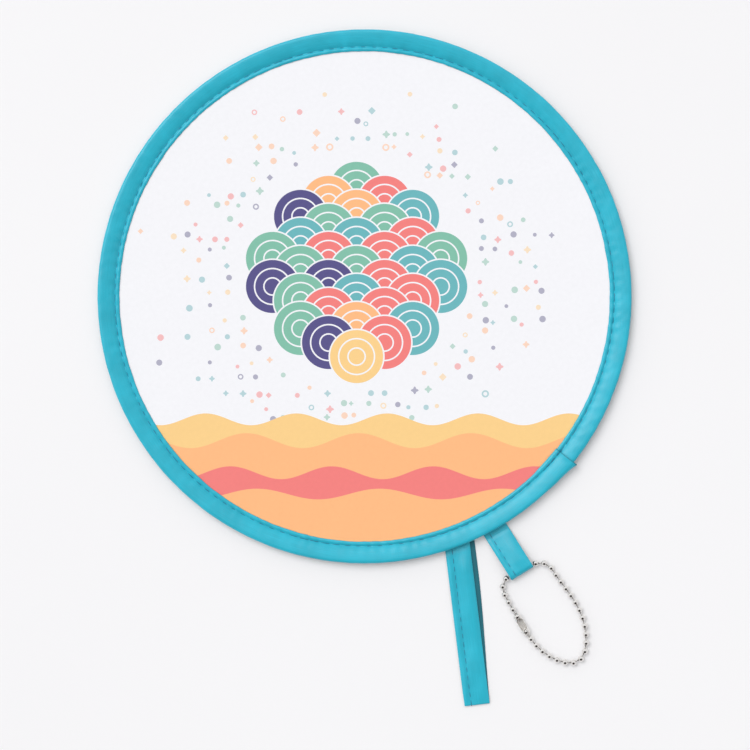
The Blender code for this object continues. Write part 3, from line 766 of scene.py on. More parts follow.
def binding_point(run, index, inward=0.0):
    """A point of the tape's outside at a run from its first end; inward sinks it into the ply."""
    radius, height = RIM_PROFILE[index]
    normal = RIM_NORMALS[index]
    # The free corner of the lap springs away from the rim a little
    to_end = BINDING_RUN - run
    spring = CORNER_SPRING * max(1 - to_end / CORNER_RUN, 0) ** 1.5
    spring *= smooth_step(radius, CORNER_START, FAN_RADIUS)
    curl = END_CURL * max(1 - to_end / CURL_RUN, 0) ** 2 * smooth_step(radius, *CURL_RISE)
    out = tape_relief(run, radius, height) + tape_lift(run - RIM_RUN) + curl - inward
    wander = EDGE_WANDER * ripple(run / WANDER_WAVE, 0, 41) * (1 - smooth_step(radius, *WANDER_FADE))
    return on_circle(radius + normal[0] * out + spring * max(normal[0], CORNER_LEAST) + wander,
                     LAP_START + run / FAN_RADIUS, CLOTH_LEVEL + height + normal[1] * out)


# %% Binding tape
ROW_STEP = 0.76 * MM
END_STRIP_RUN = 0.40 * MM
END_STRIP_DARKENING = 0.55


def build_binding():
    """The tape from its first end, once round the rim, to its lapped end, and its width."""
    row_count = round((BINDING_RUN - END_STRIP_RUN) / ROW_STEP)
    runs = [(BINDING_RUN - END_STRIP_RUN) * i / row_count for i in range(row_count + 1)] + [BINDING_RUN]
    count = len(RIM_PROFILE)
    across = running_lengths(RIM_PROFILE)
    width = across[-1]
    back = [width + TAPE_PLY + (width - value) for value in reversed(across)]
    across = across + back + [back[-1] + TAPE_PLY]
    rows = []
    for run in runs:
        outside = [binding_point(run, i) for i in range(count)]
        inside = [binding_point(run, i, TAPE_PLY) for i in range(count)]
        rows.append(outside + inside[::-1])
    mesh = cloth_grid("binding_tape", rows, runs, across, closed_columns=True, reverse_from=count - 1)
    # The last strip of the tape, at its lapped end, is made darker, which draws a deep line there
    columns = 2 * count
    shade = mesh.attributes[DARKER_DULLER_FACES].data
    for k in range(row_count * columns, (row_count + 1) * columns):
        shade[k].value = END_STRIP_DARKENING
    print("binding tape", round(BINDING_RUN / MM, 1), "mm long,", round(width / MM, 1), "mm wide")
    return add_piece("binding_tape", mesh, satin), width


binding_tape, binding_width = build_binding()
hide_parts("binding")
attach(binding_tape, "fan")

# %% [markdown]
# The disc is stretched like a drum. Only near the seam does it give: short waves run inwards from
# the stitches and die out within a centimetre or two. A face attribute tells the print side from
# the back, where only a little ink shows through.

# %% Printed disc
CLOTH_RADIUS = 95.0 * MM
CLOTH_PLY = 0.18 * MM
SHOW_THROUGH = 0.22
SPOKES = 720
RINGS = 44
# Above 1, the rings lie closer together near the rim
RING_CROWDING = 1.35
# Height of the waves and the reach over which they fade, in millimetres
SHORT_WAVES = 0.09
SHORT_FADE = 3.5
SHORT_LENGTH = 2.6 * MM
LONG_WAVES = 0.22
LONG_FADE = 14
LONG_COUNT = 7
LONG_ACROSS = 30
# The tape holds the cloth's edge, and lets go of it between these distances inside the seam
HELD_EDGE = (2.5 * MM, 1.5 * MM)
HELD_SHARE = 0.15


def disc_level(radius, angle):
    """Height of the cloth's middle, with the seam's puckers running inwards."""
    run = angle * SEAM_RADIUS
    from_seam = max((SEAM_RADIUS - radius) / MM, 0)
    short = SHORT_WAVES * ripple(run / SHORT_LENGTH, 0, 61) * math.exp(-from_seam / SHORT_FADE)
    # These waves meet themselves after a full turn
    long = ripple(LONG_COUNT * math.sin(angle), LONG_COUNT * math.cos(angle), from_seam / LONG_ACROSS)
    long *= LONG_WAVES * math.exp(-from_seam / LONG_FADE)
    free = 1 - smooth_step(radius, *(SEAM_RADIUS - inside for inside in HELD_EDGE))
    return CLOTH_LEVEL + (short + long) * MM * (HELD_SHARE + (1 - HELD_SHARE) * free)


def build_disc():
    """Two skins of rings round a middle point, joined along the rim."""
    ring_radii = [CLOTH_RADIUS * (1 - (1 - i / RINGS) ** RING_CROWDING) for i in range(1, RINGS + 1)]
    shape = bmesh.new()
    side = shape.faces.layers.float.new(PRINT_SIDE)
    skins = []
    for facing in (1, -1):
        middle = shape.verts.new((0, 0, CLOTH_LEVEL + facing * CLOTH_PLY / 2))
        rings = []
        for radius in ring_radii:
            ring = []
            for k in range(SPOKES):
                angle = 2 * math.pi * k / SPOKES
                level = disc_level(radius, angle) + facing * CLOTH_PLY / 2
                ring.append(shape.verts.new(on_circle(radius, angle, level)))
            rings.append(ring)
        share = 1.0 if facing > 0 else SHOW_THROUGH
        for k in range(SPOKES):
            n = (k + 1) % SPOKES
            shape.faces.new((middle, rings[0][k], rings[0][n]))[side] = share
            for inner, outer in zip(rings, rings[1:]):
                shape.faces.new((inner[k], outer[k], outer[n], inner[n]))[side] = share
        skins.append(rings[-1])
    for k in range(SPOKES):
        n = (k + 1) % SPOKES
        shape.faces.new((skins[0][k], skins[1][k], skins[1][n], skins[0][n]))[side] = SHOW_THROUGH
    return add_piece("printed_disc", write_mesh(shape, bpy.data.meshes.new("printed_disc")), cloth)


printed_disc = build_disc()
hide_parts("fan_disc")
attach(printed_disc, "fan")

# %% [markdown]
# The strap and the tab are the same tape, sewn flat and folded into a loop. Each is one piece from
# its sewn end under the rim, out to the fold and back. Its path is drawn in the hinge's own plane:
# how far it has run out, and how high it is. The section has round edges, a groove where it is
# stitched, and a soft crown beside it.

# %% Folded tapes
HINGE_RADIUS = 101.5 * MM
HINGE_LEVEL = -2.3 * MM
FLAT_FOLD = 0.275 * MM
LOOP_PLY = 0.34 * MM
UNDER_RIM = 8.7 * MM
FREE_START = 0.9 * MM
PATH_STEP = 0.6 * MM
CURVE_STEPS = 4
ARC_STEPS = 14

# Run and level under the rim, in millimetres; the lower ply lies a step below the upper one
UNDER_RIM_LINE = (
    (-UNDER_RIM / MM, 1.17), (-7.2, 1.15), (-6.2, 0.70), (-5.1, 0.15), (-3.0, 0.09), (-1.0, 0.12),
)
PLY_STEP = 0.36

# Where a tape crosses the hinge line and which way it points, its sizes, the radius of its fold, how
# far aside its lower ply lies, its seam's distance from its edge, how far it puffs up by the rim, and
# a seed for its wrinkles
STRAP = {
    "root": -8.5 * MM / HINGE_RADIUS, "angle": math.radians(-18.0), "width": 9.5 * MM, "reach": 58.5 * MM,
    "fold": FLAT_FOLD, "skew": 1.9 * MM, "seam": 2.6 * MM, "puff": 0.70, "seed": 3,
}
TAB = {
    "root": 7.6 * MM / HINGE_RADIUS, "angle": math.radians(7.0), "width": 9.6 * MM, "reach": 18.2 * MM,
    "fold": 1.575 * MM, "skew": 0.0, "seam": 2.2 * MM, "puff": 0.0, "seed": 11,
}


def tape_path(tape):
    """Run and level of the tape's middle, from its upper sewn end round the fold to the lower one."""
    fold = tape["fold"]
    straight = tape["reach"] - fold - LOOP_PLY / 2
    rise = 2 * (fold - FLAT_FOLD)
    above = [(run * MM, level * MM) for run, level in UNDER_RIM_LINE]
    below = [(run * MM, (level - PLY_STEP) * MM) for run, level in UNDER_RIM_LINE]
    steps = round(straight / PATH_STEP)
    free_runs = [FREE_START + (straight - FREE_START) * i / steps for i in range(1, steps)]
    path = smooth_line(above + [(FREE_START, FLAT_FOLD)], CURVE_STEPS)
    path += [(run, FLAT_FOLD + rise * run / straight) for run in free_runs]
    for i in range(ARC_STEPS + 1):
        turn = math.pi * i / ARC_STEPS
        path.append((straight + fold * math.sin(turn), fold - FLAT_FOLD + fold * math.cos(turn)))
    path += [(run, -FLAT_FOLD) for run in reversed(free_runs)]
    return path + smooth_line([(FREE_START, -FLAT_FOLD)] + below[::-1], CURVE_STEPS)


def tape_frame(tape):
    """World matrix of a tape's hinge: +X along the rim, -Y out from it."""
    hinge = on_circle(HINGE_RADIUS, tape["root"], HINGE_LEVEL)
    return Matrix.Translation(hinge) @ Matrix.Rotation(tape["root"], 4, "Z")


def tape_point(tape, station, normal, run_length, offset, out):
    """A world point on a folded tape, offset across it and out from the middle of its ply."""
    run, level = station
    lean = tape["angle"] - tape["root"]
    along = Vector((math.sin(lean), -math.cos(lean), 0))
    side = Vector((math.cos(lean), math.sin(lean), 0))
    behind = smooth_step(run_length, tape["reach"], tape["reach"] * 2)
    shift = tape["skew"] * behind
    slant = max(0, 1 - max(run, 0) / tape["width"])
    point = along * (run + normal[0] * out + slant * (offset + shift) * math.tan(lean))
    point += side * (offset + shift) + Vector((0, 0, level + normal[1] * out))
    return tape_frame(tape) @ point


# %% Relief of the folded tapes
# Heights in millimetres: a roll on the wide and on the narrow side of the seam, and what runs along it
WIDE_ROLL = 0.34
NARROW_ROLL = 0.42
PUFF_FADE = (8, 44)
GROOVE = -0.13
GROOVE_REACH = 0.5
LOOP_PUCKER = 0.08
LOOP_PUCKER_REACH = 1.3
LOOP_PUCKER_WAVE = 1.8 * MM
LOOP_PUCKER_ACROSS = 4
WRINKLE = 0.34
WRINKLE_LEAN = 1.2
WRINKLE_LENGTH = 8.5 * MM
WRINKLE_WIDTH = 7 * MM
# The relief starts and ends at these distances from the rim, in millimetres, and from the fold
RELIEF_START = (-1, 9)
RELIEF_END = 5 * MM


def ply_thickness(tape, offset):
    """Half the ply's thickness, rounded off at both edges."""
    share = min(abs(2 * offset / tape["width"]), 1)
    return LOOP_PLY / 2 * math.sqrt(max(1 - share ** 10, 0))


def loop_relief(tape, run_length, offset):
    """How far the outside of a folded tape stands out: a roll on each side of the seam, and wrinkles."""
    half = tape["width"] / 2
    seam_offset = tape["seam"] - half
    from_seam = (offset - seam_offset) / MM
    fold_start = tape["reach"] + UNDER_RIM
    past_rim = (run_length - UNDER_RIM) / MM
    on_top = smooth_step(past_rim, *RELIEF_START)
    on_top *= 1 - smooth_step(run_length, fold_start - RELIEF_END, fold_start)
    if from_seam > 0:
        share = min((offset - seam_offset) / (half - seam_offset), 1)
        puff = tape["puff"] * (1 - smooth_step(past_rim, *PUFF_FADE))
        roll = (WIDE_ROLL + puff) * math.sin(math.pi * share ** 1.5)
    else:
        share = min((seam_offset - offset) / tape["seam"], 1)
        roll = NARROW_ROLL * math.sin(math.pi * share)
    seed = tape["seed"]
    uneven = ripple(run_length / LOOP_PUCKER_WAVE, from_seam / LOOP_PUCKER_ACROSS, seed)
    pucker = LOOP_PUCKER * uneven * bell(from_seam, LOOP_PUCKER_REACH)
    slanted = (run_length + WRINKLE_LEAN * offset) / WRINKLE_LENGTH
    wrinkle = WRINKLE * ripple(slanted, offset / WRINKLE_WIDTH, seed + 0.5)
    flat_edge = 1 - abs(offset / half) ** 4
    groove = GROOVE * bell(from_seam, GROOVE_REACH)
    return ((max(roll, 0) + (pucker + wrinkle) * flat_edge) * on_top + groove) * MM


def tape_surface(tape, station, normal, length, offset):
    """A point on the outside of a folded tape, relief included."""
    out = ply_thickness(tape, offset) + loop_relief(tape, length, offset)
    return tape_point(tape, station, normal, length, offset, out)


# %% Strap and tab
LOOP_COLUMNS = 26


def build_loop(name, tape):
    """A folded tape and its whole length."""
    half = tape["width"] / 2
    path = tape_path(tape)
    lengths = running_lengths(path)
    offsets = [half * math.sin(math.pi / 2 * (2 * j / LOOP_COLUMNS - 1)) for j in range(LOOP_COLUMNS + 1)]
    rows = []
    for station, normal, length in zip(path, line_normals(path), lengths):
        outer = [tape_surface(tape, station, normal, length, offset) for offset in offsets]
        inner = [tape_point(tape, station, normal, length, offset, -ply_thickness(tape, offset))
                 for offset in reversed(offsets[1:-1])]
        rows.append(outer + inner)
    across = [offset + half for offset in offsets]
    across += [tape["width"] * 2 - value for value in reversed(across[:-1])]
    mesh = cloth_grid(name, rows, lengths, across, closed_columns=True, reverse_from=LOOP_COLUMNS)
    print(name, "tape", round(lengths[-1] / MM, 1), "mm long")
    return add_piece(name, mesh, satin), lengths[-1]


def bend_at_hinge(piece):
    """Work a piece's world placement into its mesh."""
    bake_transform(piece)


for name, tape, body, solids in (
    ("strap_tape", STRAP, "strap", ("strap_loop", "strap_sewn_end")),
    ("tab_tape", TAB, "tab", ("tab_loop", "tab_sewn_end")),
):
    piece, length = build_loop(name, tape)
    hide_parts(*solids)
    bend_at_hinge(piece)

# %% [markdown]
# Stitches repeat along a path, which is what Geometry Nodes do best. The tree takes a curve, walks
# along it at the stitch pitch and sets one short arc of thread at each step, with both ends dipping
# into the cloth. Its sizes are inputs, so that one tree sews every seam.

# %% Stitch tree
# How deep a stitch's ends dip and how high its arc is drawn, in rises
DIP = -1.6
CREST = 2.6


def build_stitch_tree():
    """The tree that sets a stitch at each step along a curve."""
    tree, given, result = new_group(
        "row_of_stitches",
        [("Geometry", "Geometry", None), ("Pitch", "Float", None), ("Stitch Length", "Float", None),
         ("Thread Diameter", "Float", None), ("Rise", "Float", None), ("Material", "Material", None)],
        [("Geometry", "Geometry")], "GeometryNodeTree")
    steps = add_node(tree, "GeometryNodeResampleCurve", {
        "Curve": given["Geometry"], "Length": given["Pitch"]}, mode="LENGTH")
    half = calc(tree, "MULTIPLY", given["Stitch Length"], 0.5)
    back = calc(tree, "MULTIPLY", given["Stitch Length"], -0.5)
    dip = calc(tree, "MULTIPLY", given["Rise"], DIP)
    crest = calc(tree, "MULTIPLY", given["Rise"], CREST)
    first, middle, last = (add_node(tree, "ShaderNodeCombineXYZ", place).outputs[0]
                           for place in ({"X": back, "Z": dip}, {"Z": crest}, {"X": half, "Z": dip}))
    arc = add_node(tree, "GeometryNodeCurveQuadraticBezier", {
        "Resolution": 8, "Start": first, "Middle": middle, "End": last})
    radius = calc(tree, "MULTIPLY", given["Thread Diameter"], 0.5)
    ring = add_node(tree, "GeometryNodeCurvePrimitiveCircle", {
        "Resolution": 8, "Radius": radius}, mode="RADIUS")
    stitch = add_node(tree, "GeometryNodeCurveToMesh", {
        "Curve": arc.outputs["Curve"], "Profile Curve": ring.outputs["Curve"], "Fill Caps": True})
    tangent = add_node(tree, "GeometryNodeInputTangent").outputs["Tangent"]
    flat_turn = add_node(tree, "FunctionNodeAlignRotationToVector", {
        "Vector": tangent}, axis="X", pivot_axis="Z")
    full_turn = add_node(tree, "FunctionNodeAlignRotationToVector", {
        "Rotation": flat_turn.outputs["Rotation"], "Vector": tangent}, axis="X", pivot_axis="Y")
    sewn = add_node(tree, "GeometryNodeInstanceOnPoints", {
        "Points": steps.outputs["Curve"], "Instance": stitch.outputs["Mesh"],
        "Rotation": full_turn.outputs["Rotation"]})
    real = add_node(tree, "GeometryNodeRealizeInstances", {"Geometry": sewn.outputs["Instances"]})
    smooth = add_node(tree, "GeometryNodeSetShadeSmooth", {"Geometry": real.outputs["Geometry"]})
    painted = add_node(tree, "GeometryNodeSetMaterial", {
        "Geometry": smooth.outputs["Geometry"], "Material": given["Material"]})
    connect(tree, painted.outputs["Geometry"], result["Geometry"])
    return tree


STITCH_TREE = build_stitch_tree()

# %% [markdown]
# A Geometry Nodes modifier needs an object to sit on. Each line of stitches gets a guide curve for
# that, its result is copied to a plain mesh, and the guide is thrown away.

# %% Sewing
THREAD_DIAMETER = 0.28 * MM
SUNK_SHARE = 0.1


def plain_mesh(item):
    """A copy of an object's mesh with its modifiers worked in."""
    depsgraph = bpy.context.evaluated_depsgraph_get()
    return bpy.data.meshes.new_from_object(item.evaluated_get(depsgraph))


def sew(name, lines, pitch, length, rise):
    """One piece of stitches along lines of points; each line's facing is -1 on the underside."""
    whole = bmesh.new()
    for points, facing in lines:
        curve = bpy.data.curves.new(name, "CURVE")
        curve.dimensions = "3D"
        spline = curve.splines.new("POLY")
        spline.points.add(len(points) - 1)
        for spot, point in zip(spline.points, points):
            spot.co = (*point, 1)
        guide = add_object(name, curve)
        modifier = guide.modifiers.new("sewing", "NODES")
        modifier.node_group = STITCH_TREE
        values = {"Pitch": pitch, "Stitch Length": length, "Thread Diameter": THREAD_DIAMETER,
                  "Rise": rise * facing, "Material": thread}
        for item in STITCH_TREE.interface.items_tree:
            if item.in_out == "INPUT" and item.name in values:
                modifier[item.identifier] = values[item.name]
        bpy.context.view_layer.update()
        whole.from_mesh(plain_mesh(guide))
        bpy.data.objects.remove(guide)
    return add_piece(name, write_mesh(whole, bpy.data.meshes.new(name)), thread)


# %% [markdown]
# One seam runs round the whole binding, on both faces, and ends in a few stitches sewn back over
# themselves at the lap. The strap and the tab are sewn near their left edges. Each seam's line is
# read from the same functions that shape the cloth, so the thread lies in its groove.

# %% Seams
SEAM_INDEX = min(range(len(RIM_PROFILE) // 2), key=lambda i: abs(RIM_PROFILE[i][0] - SEAM_RADIUS))
SEAM_BACK = len(RIM_PROFILE) - 1 - SEAM_INDEX
SEAM_START = 1.0 * MM + LAP_RUN
SEAM_SPACING = 1.0 * MM
TACK_START = RIM_RUN + 1.5 * MM
TACK_SPACING = 0.5 * MM
# Where the seam and the two rows of the tack stop short of the tape's end
SEAM_MARGIN = 0.6 * MM
TACK_MARGINS = (0.3 * MM, 1.2 * MM)

# Pitch, stitch length and rise of each kind of seam
BINDING_STITCH = (STITCH_PITCH, 3.1 * MM, 0.10 * MM)
TACK_STITCH = (2.4 * MM, 1.9 * MM, 0.10 * MM)
LOOP_STITCH = (3.0 * MM, 2.3 * MM, 0.09 * MM)
LOOP_SEAM_START = -0.2 * MM


def binding_seam(index, start, margin, spacing):
    """Points along the binding's outside, a little sunk, that stop a margin before its end."""
    end = BINDING_RUN - margin
    count = round((end - start) / spacing)
    sink = THREAD_DIAMETER * SUNK_SHARE
    return [binding_point(start + (end - start) * i / count, index, sink) for i in range(count + 1)]


seam_lines = [(binding_seam(index, SEAM_START, SEAM_MARGIN, SEAM_SPACING), facing)
              for index, facing in ((SEAM_INDEX, 1), (SEAM_BACK, -1))]
binding_stitches = sew("binding_stitches", seam_lines, *BINDING_STITCH)
tack_lines = [(binding_seam(index, TACK_START, margin, TACK_SPACING), 1)
              for index, margin in zip((SEAM_INDEX, SEAM_INDEX - 2), TACK_MARGINS)]
back_tack = sew("lap_back_tack", tack_lines, *TACK_STITCH)
for piece in (binding_stitches, back_tack):
    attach(piece, "fan")


def loop_seam(tape, first_run, last_run):
    """A tape's stitch line on the outside of both passes, as two lines of points."""
    path = tape_path(tape)
    offset = tape["seam"] - tape["width"] / 2
    lines = ([], [])
    for i, (station, normal, length) in enumerate(zip(path, line_normals(path), running_lengths(path))):
        if first_run <= station[0] <= last_run:
            back_pass = i > len(path) // 2
            lines[back_pass].append(tape_surface(tape, station, normal, length, offset))
    return [(lines[0], 1), (lines[1], -1)]


for name, tape, body in (("strap_stitches", STRAP, "strap"), ("tab_stitches", TAB, "tab")):
    last_run = tape["reach"] - tape["fold"] - LOOP_PLY
    stitches = sew(name, loop_seam(tape, LOOP_SEAM_START, last_run), *LOOP_STITCH)
    bend_at_hinge(stitches)

# %% [markdown]
# A ball chain is hollow balls rolled from strip, joined by wires with a head at each end. The heads
# sit inside the balls, so each ball can turn on the next. Each ball below is turned from a profile
# and carries its own wire. Its place is read from the solids: each wire's head lies at the middle
# of the next ball, so the head's far end tells where that ball is.

# %% Places of the balls
BALL_RADIUS = 1.2 * MM
BALL_WALL = 0.25 * MM
HOLE_RADIUS = 0.55 * MM
WIRE_RADIUS = 0.25 * MM
HEAD_RADIUS = 0.625 * MM
BALL_COUNT = 32


def ball_solid(number):
    """The name of a ball's solid, which includes its wire and head."""
    return f"chain_ball_{number:02d}"


def find_centres():
    """Each ball's centre: one head radius back from the far end of the wire that enters it."""
    places = {}
    for number in range(1, BALL_COUNT + 1):
        low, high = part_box(ball_solid(number))
        places[number] = (low + high) / 2
    # The first places are rough, and each round points the wires better
    for _ in range(4):
        found = {}
        for number in range(1, BALL_COUNT):
            way = (places[number + 1] - places[number]).normalized()
            corners = (vertex.co for vertex in frame["nodes"][ball_solid(number)].data.vertices)
            found[number + 1] = max(corners, key=way.dot) - way * HEAD_RADIUS
        pitch = (found[3] - found[2]).length
        found[1] = found[2] - (places[2] - places[1]).normalized() * pitch
        places = found
    return places


ball_places = find_centres()
BALL_PITCH = (ball_places[3] - ball_places[2]).length
fold_joint = next(joint for joint in frame["joints"] if joint["name"] == "chain_swing")
fold_error = min((place - Vector(fold_joint["pos_m"])).length for place in ball_places.values())
print("ball pitch", round(BALL_PITCH / MM, 3), "mm, off the fold's joint by", round(fold_error / MM, 4), "mm")

# %% Balls and wires
BALL_SIDES = 24
BALL_STEPS = 14
INNER_STEPS = 6
# The hole's rim is rolled inwards, which leaves it a little wider outside
ROLLED_RIM = 1.1
WIRE_SIDES = 12
HEAD_STEPS = 6
COLLAR_WIDTHS = 1.7
COLLAR_RISE = 0.10 * MM
SHARP_EDGE = math.radians(50)


def circle_points(radius, start, end, steps, height=0.0):
    """Points of a turned profile on a circle about the axis, by angle from +Z."""
    angles = [start + (end - start) * i / steps for i in range(steps + 1)]
    return [(radius * math.sin(angle), height + radius * math.cos(angle)) for angle in angles]


def turned(shape, profile, sides, place):
    """Add a profile turned about +Z to a mesh; a point on the axis closes the surface."""
    rings = []
    for radius, height in profile:
        if radius == 0:
            rings.append([shape.verts.new(place @ Vector((0, 0, height)))])
            continue
        ring = []
        for k in range(sides):
            angle = 2 * math.pi * k / sides
            point = Vector((radius * math.cos(angle), radius * math.sin(angle), height))
            ring.append(shape.verts.new(place @ point))
        rings.append(ring)
    for first, second in zip(rings, rings[1:]):
        for k in range(sides):
            n = (k + 1) % sides
            corners = [first[k % len(first)], first[n % len(first)],
                       second[n % len(second)], second[k % len(second)]]
            shape.faces.new(list(dict.fromkeys(corners)))


def facing(place, target):
    """World matrix at a place, with +Z towards a target."""
    return Matrix.Translation(place) @ (target - place).to_track_quat("Z", "Y").to_matrix().to_4x4()


def ball_profile():
    """Out over the ball from its inside, round a rolled rim at the hole."""
    inner_radius = BALL_RADIUS - BALL_WALL
    inner = circle_points(inner_radius, math.asin(HOLE_RADIUS / inner_radius), math.pi, INNER_STEPS)
    outer = circle_points(BALL_RADIUS, math.asin(HOLE_RADIUS / BALL_RADIUS) * ROLLED_RIM, math.pi, BALL_STEPS)
    inner[-1] = (0, -inner_radius)
    outer[-1] = (0, -BALL_RADIUS)
    return inner[::-1] + outer


def wire_profile():
    """A wire from a ball's back to its head in the next ball, with a small collar at its foot."""
    foot = BALL_RADIUS - BALL_WALL / 2
    collar = WIRE_RADIUS * COLLAR_WIDTHS
    neck = math.pi - math.asin(WIRE_RADIUS / HEAD_RADIUS)
    head = circle_points(HEAD_RADIUS, 0, neck, HEAD_STEPS, BALL_PITCH)
    head[0] = (0, BALL_PITCH + HEAD_RADIUS)
    end = BALL_RADIUS + COLLAR_RISE
    return head + [(WIRE_RADIUS, end + collar / 3), (collar, end), (collar, foot), (0, foot)]


def build_ball(number):
    """A ball with its open end towards the ball before it, and its wire towards the next."""
    place = ball_places[number]
    before = ball_places[number - 1] if number > 1 else place * 2 - ball_places[2]
    shape = bmesh.new()
    turned(shape, ball_profile(), BALL_SIDES, facing(place, before))
    if number < BALL_COUNT:
        turned(shape, wire_profile(), WIRE_SIDES, facing(place, ball_places[number + 1]))
    name = f"polished_ball_{number:02d}"
    mesh = write_mesh(shape, bpy.data.meshes.new(name))
    mesh.set_sharp_from_angle(angle=SHARP_EDGE)
    return add_piece(name, mesh, nickel)


node_bodies = {node: body for body, nodes in frame["record"]["behaviour"]["bodies"].items() for node in nodes}
balls = []
for number in range(1, BALL_COUNT + 1):
    solid = ball_solid(number)
    ball = build_ball(number)
    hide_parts(solid)
    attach(ball, node_bodies[solid])
    balls.append(ball)

# %% [markdown]
# The connector is a sleeve rolled from thin sheet. A slot along its top widens in the middle, where
# an end ball is pushed in, and narrows towards both ends, which hold the balls. The sleeve is a
# grid of points round its axis, with the slot left open, and Solidify gives it its wall.

# %% Chain connector
SLEEVE_RADIUS = 1.5 * MM
SLEEVE_WALL = 0.2 * MM
SLEEVE_STEPS = 26
SLEEVE_SIDES = 30
DOME_STEPS = 8
SLOT_HALF = 0.55 * MM
MOUTH_HALF = 1.25 * MM
MOUTH_LENGTH = 3.0 * MM
ROUNDED_EDGE = 0.04 * MM
SHARP_SLOT = math.radians(45)


def sleeve_line():
    """Radius and place along the sleeve's axis, from one end hole to the other."""
    half_span = (ball_places[1] - ball_places[BALL_COUNT]).length / 2
    start = math.asin(HOLE_RADIUS / SLEEVE_RADIUS)
    dome = circle_points(SLEEVE_RADIUS, start, math.pi / 2, DOME_STEPS, half_span)
    straight = [(SLEEVE_RADIUS, half_span * (1 - 2 * i / SLEEVE_STEPS)) for i in range(1, SLEEVE_STEPS)]
    return dome + straight + [(radius, -height) for radius, height in reversed(dome)]


def slot_half_width(along):
    """Half the slot's width at a place along the sleeve."""
    share = smooth_step(abs(along), MOUTH_LENGTH / 2, MOUTH_LENGTH / 2 + 2 * SLOT_HALF)
    return MOUTH_HALF + (SLOT_HALF - MOUTH_HALF) * share


def sleeve_mesh(axis, centre):
    """Each ring starts and ends at the slot's two edges, so the edges follow it smoothly."""
    up = Vector((0, 0, 1))
    up = (up - axis * up.dot(axis)).normalized()
    aside = axis.cross(up)
    line = sleeve_line()
    rows = []
    for radius, along in line:
        half_angle = math.asin(min(slot_half_width(along) / radius, 0.98))
        row = []
        for k in range(SLEEVE_SIDES + 1):
            angle = half_angle + (2 * math.pi - 2 * half_angle) * k / SLEEVE_SIDES
            row.append(centre + axis * along + (up * math.cos(angle) + aside * math.sin(angle)) * radius)
        rows.append(row)
    across = [k / SLEEVE_SIDES * 2 * math.pi * SLEEVE_RADIUS for k in range(SLEEVE_SIDES + 1)]
    return cloth_grid("snap_connector", rows, [along for _, along in line], across)


def build_connector():
    """The sleeve with its wall, its slot's edges rounded."""
    axis = (ball_places[1] - ball_places[BALL_COUNT]).normalized()
    centre = (ball_places[1] + ball_places[BALL_COUNT]) / 2
    mesh = sleeve_mesh(axis, centre)
    # An open surface has no inside, so its faces are turned by the side that the axis is on
    face = mesh.polygons[len(mesh.polygons) // 2]
    from_axis = face.center - centre
    if face.normal.dot(from_axis - axis * from_axis.dot(axis)) < 0:
        mesh.flip_normals()
    piece = add_piece("snap_connector", mesh, nickel)
    mesh.materials.append(bare_nickel_painted_lighter)
    wall = piece.modifiers.new("wall", "SOLIDIFY")
    wall.thickness = SLEEVE_WALL
    wall.offset = -1
    wall.material_offset = 1
    edge = piece.modifiers.new("edge", "BEVEL")
    edge.width = ROUNDED_EDGE
    edge.segments = 2
    edge.limit_method = "ANGLE"
    done = plain_mesh(piece)
    piece.modifiers.clear()
    piece.data = done
    done.shade_smooth()
    done.set_sharp_from_angle(angle=SHARP_SLOT)
    return piece


connector = build_connector()
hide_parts("chain_connector")
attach(connector, "connector")

# %% [markdown]
# The fan lies on a plain white table, just under the lowest point of its solids. The table's paint
# drifts a little in tone, so that it doesn't look like a blank screen.

# %% Floor
FLOOR_WHITE = (0.92, 0.915, 0.93, 1.0)
FLOOR_SIZE = 6.0
FLOOR_GAP = 0.05 * MM
FLOOR_PATCH = 0.3

floor_shape = bmesh.new()
bmesh.ops.create_grid(floor_shape, x_segments=1, y_segments=1, size=FLOOR_SIZE / 2)
bmesh.ops.translate(floor_shape, verts=floor_shape.verts, vec=(0, 0, cad_low.z - FLOOR_GAP))
floor_mesh = bpy.data.meshes.new("table_top")
floor_shape.to_mesh(floor_mesh)
floor_shape.free()
table_paint, tree, table_in = new_material("white_table", roughness=0.6)
paint = use_group(tree, drift, {
    "Vector": own_place(tree), "Colour": FLOOR_WHITE, "Patch Size": FLOOR_PATCH, "Amount": 0.01})
connect(tree, paint["Colour"], table_in["Base Color"])
floor = add_piece("table_top", floor_mesh, table_paint)
floor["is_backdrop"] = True

# %% [markdown]
# The light is soft, as from a window at the upper left of the picture. A wide sun adds the soft
# shadow at the rim's lower right, and the world gives the rest, more from the window's side.

# %% Window light
SUN_LEVEL = 1.15
SUN_SOFTNESS = math.radians(36.0)
SUN_TILT = math.radians(34.0)
# Upper left in the picture, in the fan's own directions
SUN_FROM = math.radians(135.0) + VIEW_TURN

sun_data = bpy.data.lights.new("window", "SUN")
sun_data.energy = SUN_LEVEL
sun_data.angle = SUN_SOFTNESS
sun = add_object("window", sun_data)
sun_way = Vector((math.cos(SUN_FROM) * math.sin(SUN_TILT), math.sin(SUN_FROM) * math.sin(SUN_TILT),
                  math.cos(SUN_TILT)))
sun.rotation_euler = sun_way.to_track_quat("Z", "Y").to_euler()

# The balls mirror the studio but not the window, whose image would hide all else in such small mirrors
studio_only = bpy.data.collections.new("studio_only")
for ball in balls:
    studio_only.objects.link(ball)
for member in studio_only.collection_objects:
    member.light_linking.link_state = "EXCLUDE"
sun.light_linking.receiver_collection = studio_only
print("window light", round(math.degrees(SUN_TILT)), "degrees off straight above")

# %% [markdown]
# Polished metal mirrors a white studio here, and needs something dark in it, or it looks like white
# plastic. So glossy rays meet one dark spot overhead. All other light comes from a plain sky, and
# where the camera looks past the table it sees the studio's white.

# %% World
WHITE = (1.0, 1.0, 1.0, 1.0)
STUDIO_WHITE = (0.93, 0.93, 0.95, 1.0)
SPOT_COLOUR = (0.03, 0.022, 0.02, 1.0)
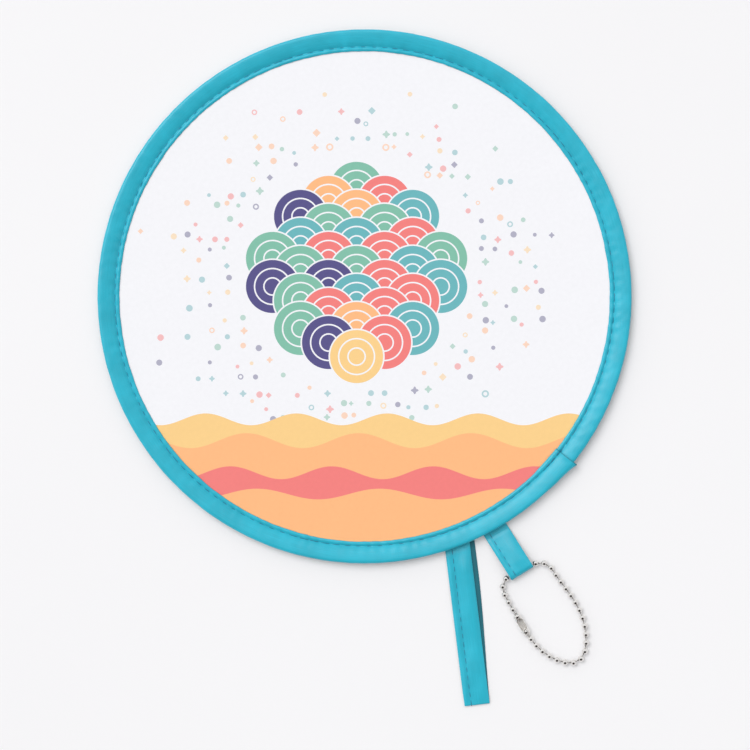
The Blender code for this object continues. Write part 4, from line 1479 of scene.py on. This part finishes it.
# Strength of the sky, and of what metal mirrors, from the shaded side to the window's side
SKY_LEVELS = (0.24, 0.96)
MIRROR_LEVELS = (0.72, 1.0)
SHADE_TO_WINDOW = (-0.3, 1.0)
SPOT_WAY = Vector((-0.264, -0.566, 1.0))
SPOT_EDGE = (math.cos(math.radians(46)), math.cos(math.radians(36)))

world = bpy.data.worlds.new("studio")
bpy.context.scene.world = world
world.use_nodes = True
tree = world.node_tree
tree.nodes.clear()
look = add_node(tree, "ShaderNodeTexCoord").outputs["Generated"]


def turned_to(direction):
    """How far the looked-at part of the sky lies towards a direction, from -1 to 1."""
    inputs = {0: look, 1: direction.normalized()}
    return add_node(tree, "ShaderNodeVectorMath", inputs, operation="DOT_PRODUCT").outputs["Value"]


def background(colour, strength):
    return add_node(tree, "ShaderNodeBackground", {"Color": colour, "Strength": strength}).outputs[0]


def choose(factor, first, second):
    """The first shader where the factor is 0, and the second where it is 1."""
    return add_node(tree, "ShaderNodeMixShader", {0: factor, 1: first, 2: second}).outputs[0]


sky = background(WHITE, remap(tree, turned_to(sun_way), *SHADE_TO_WINDOW, *SKY_LEVELS))
walls = background(STUDIO_WHITE, remap(tree, turned_to(sun_way), *SHADE_TO_WINDOW, *MIRROR_LEVELS))
dark_spot = remap(tree, turned_to(SPOT_WAY), *SPOT_EDGE, 0.0, 1.0)
mirrored = choose(dark_spot, walls, background(SPOT_COLOUR, 1.0))
ray = add_node(tree, "ShaderNodeLightPath").outputs
seen = calc(tree, "MAXIMUM", ray["Is Camera Ray"], ray["Is Transmission Ray"])
shown = choose(seen, choose(ray["Is Glossy Ray"], sky, mirrored), background(STUDIO_WHITE, 1.0))
add_node(tree, "ShaderNodeOutputWorld", {"Surface": shown})
bpy.context.scene.view_settings.view_transform = "Standard"
print("world", len(tree.nodes), "nodes")

# %% [markdown]
# The last step prints the dressed fan's box, to set beside the solids' box printed at the start.

# %% Finish
low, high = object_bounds()
print("dressed", [round((b - a) / MM, 1) for a, b in zip(low, high)], "mm")
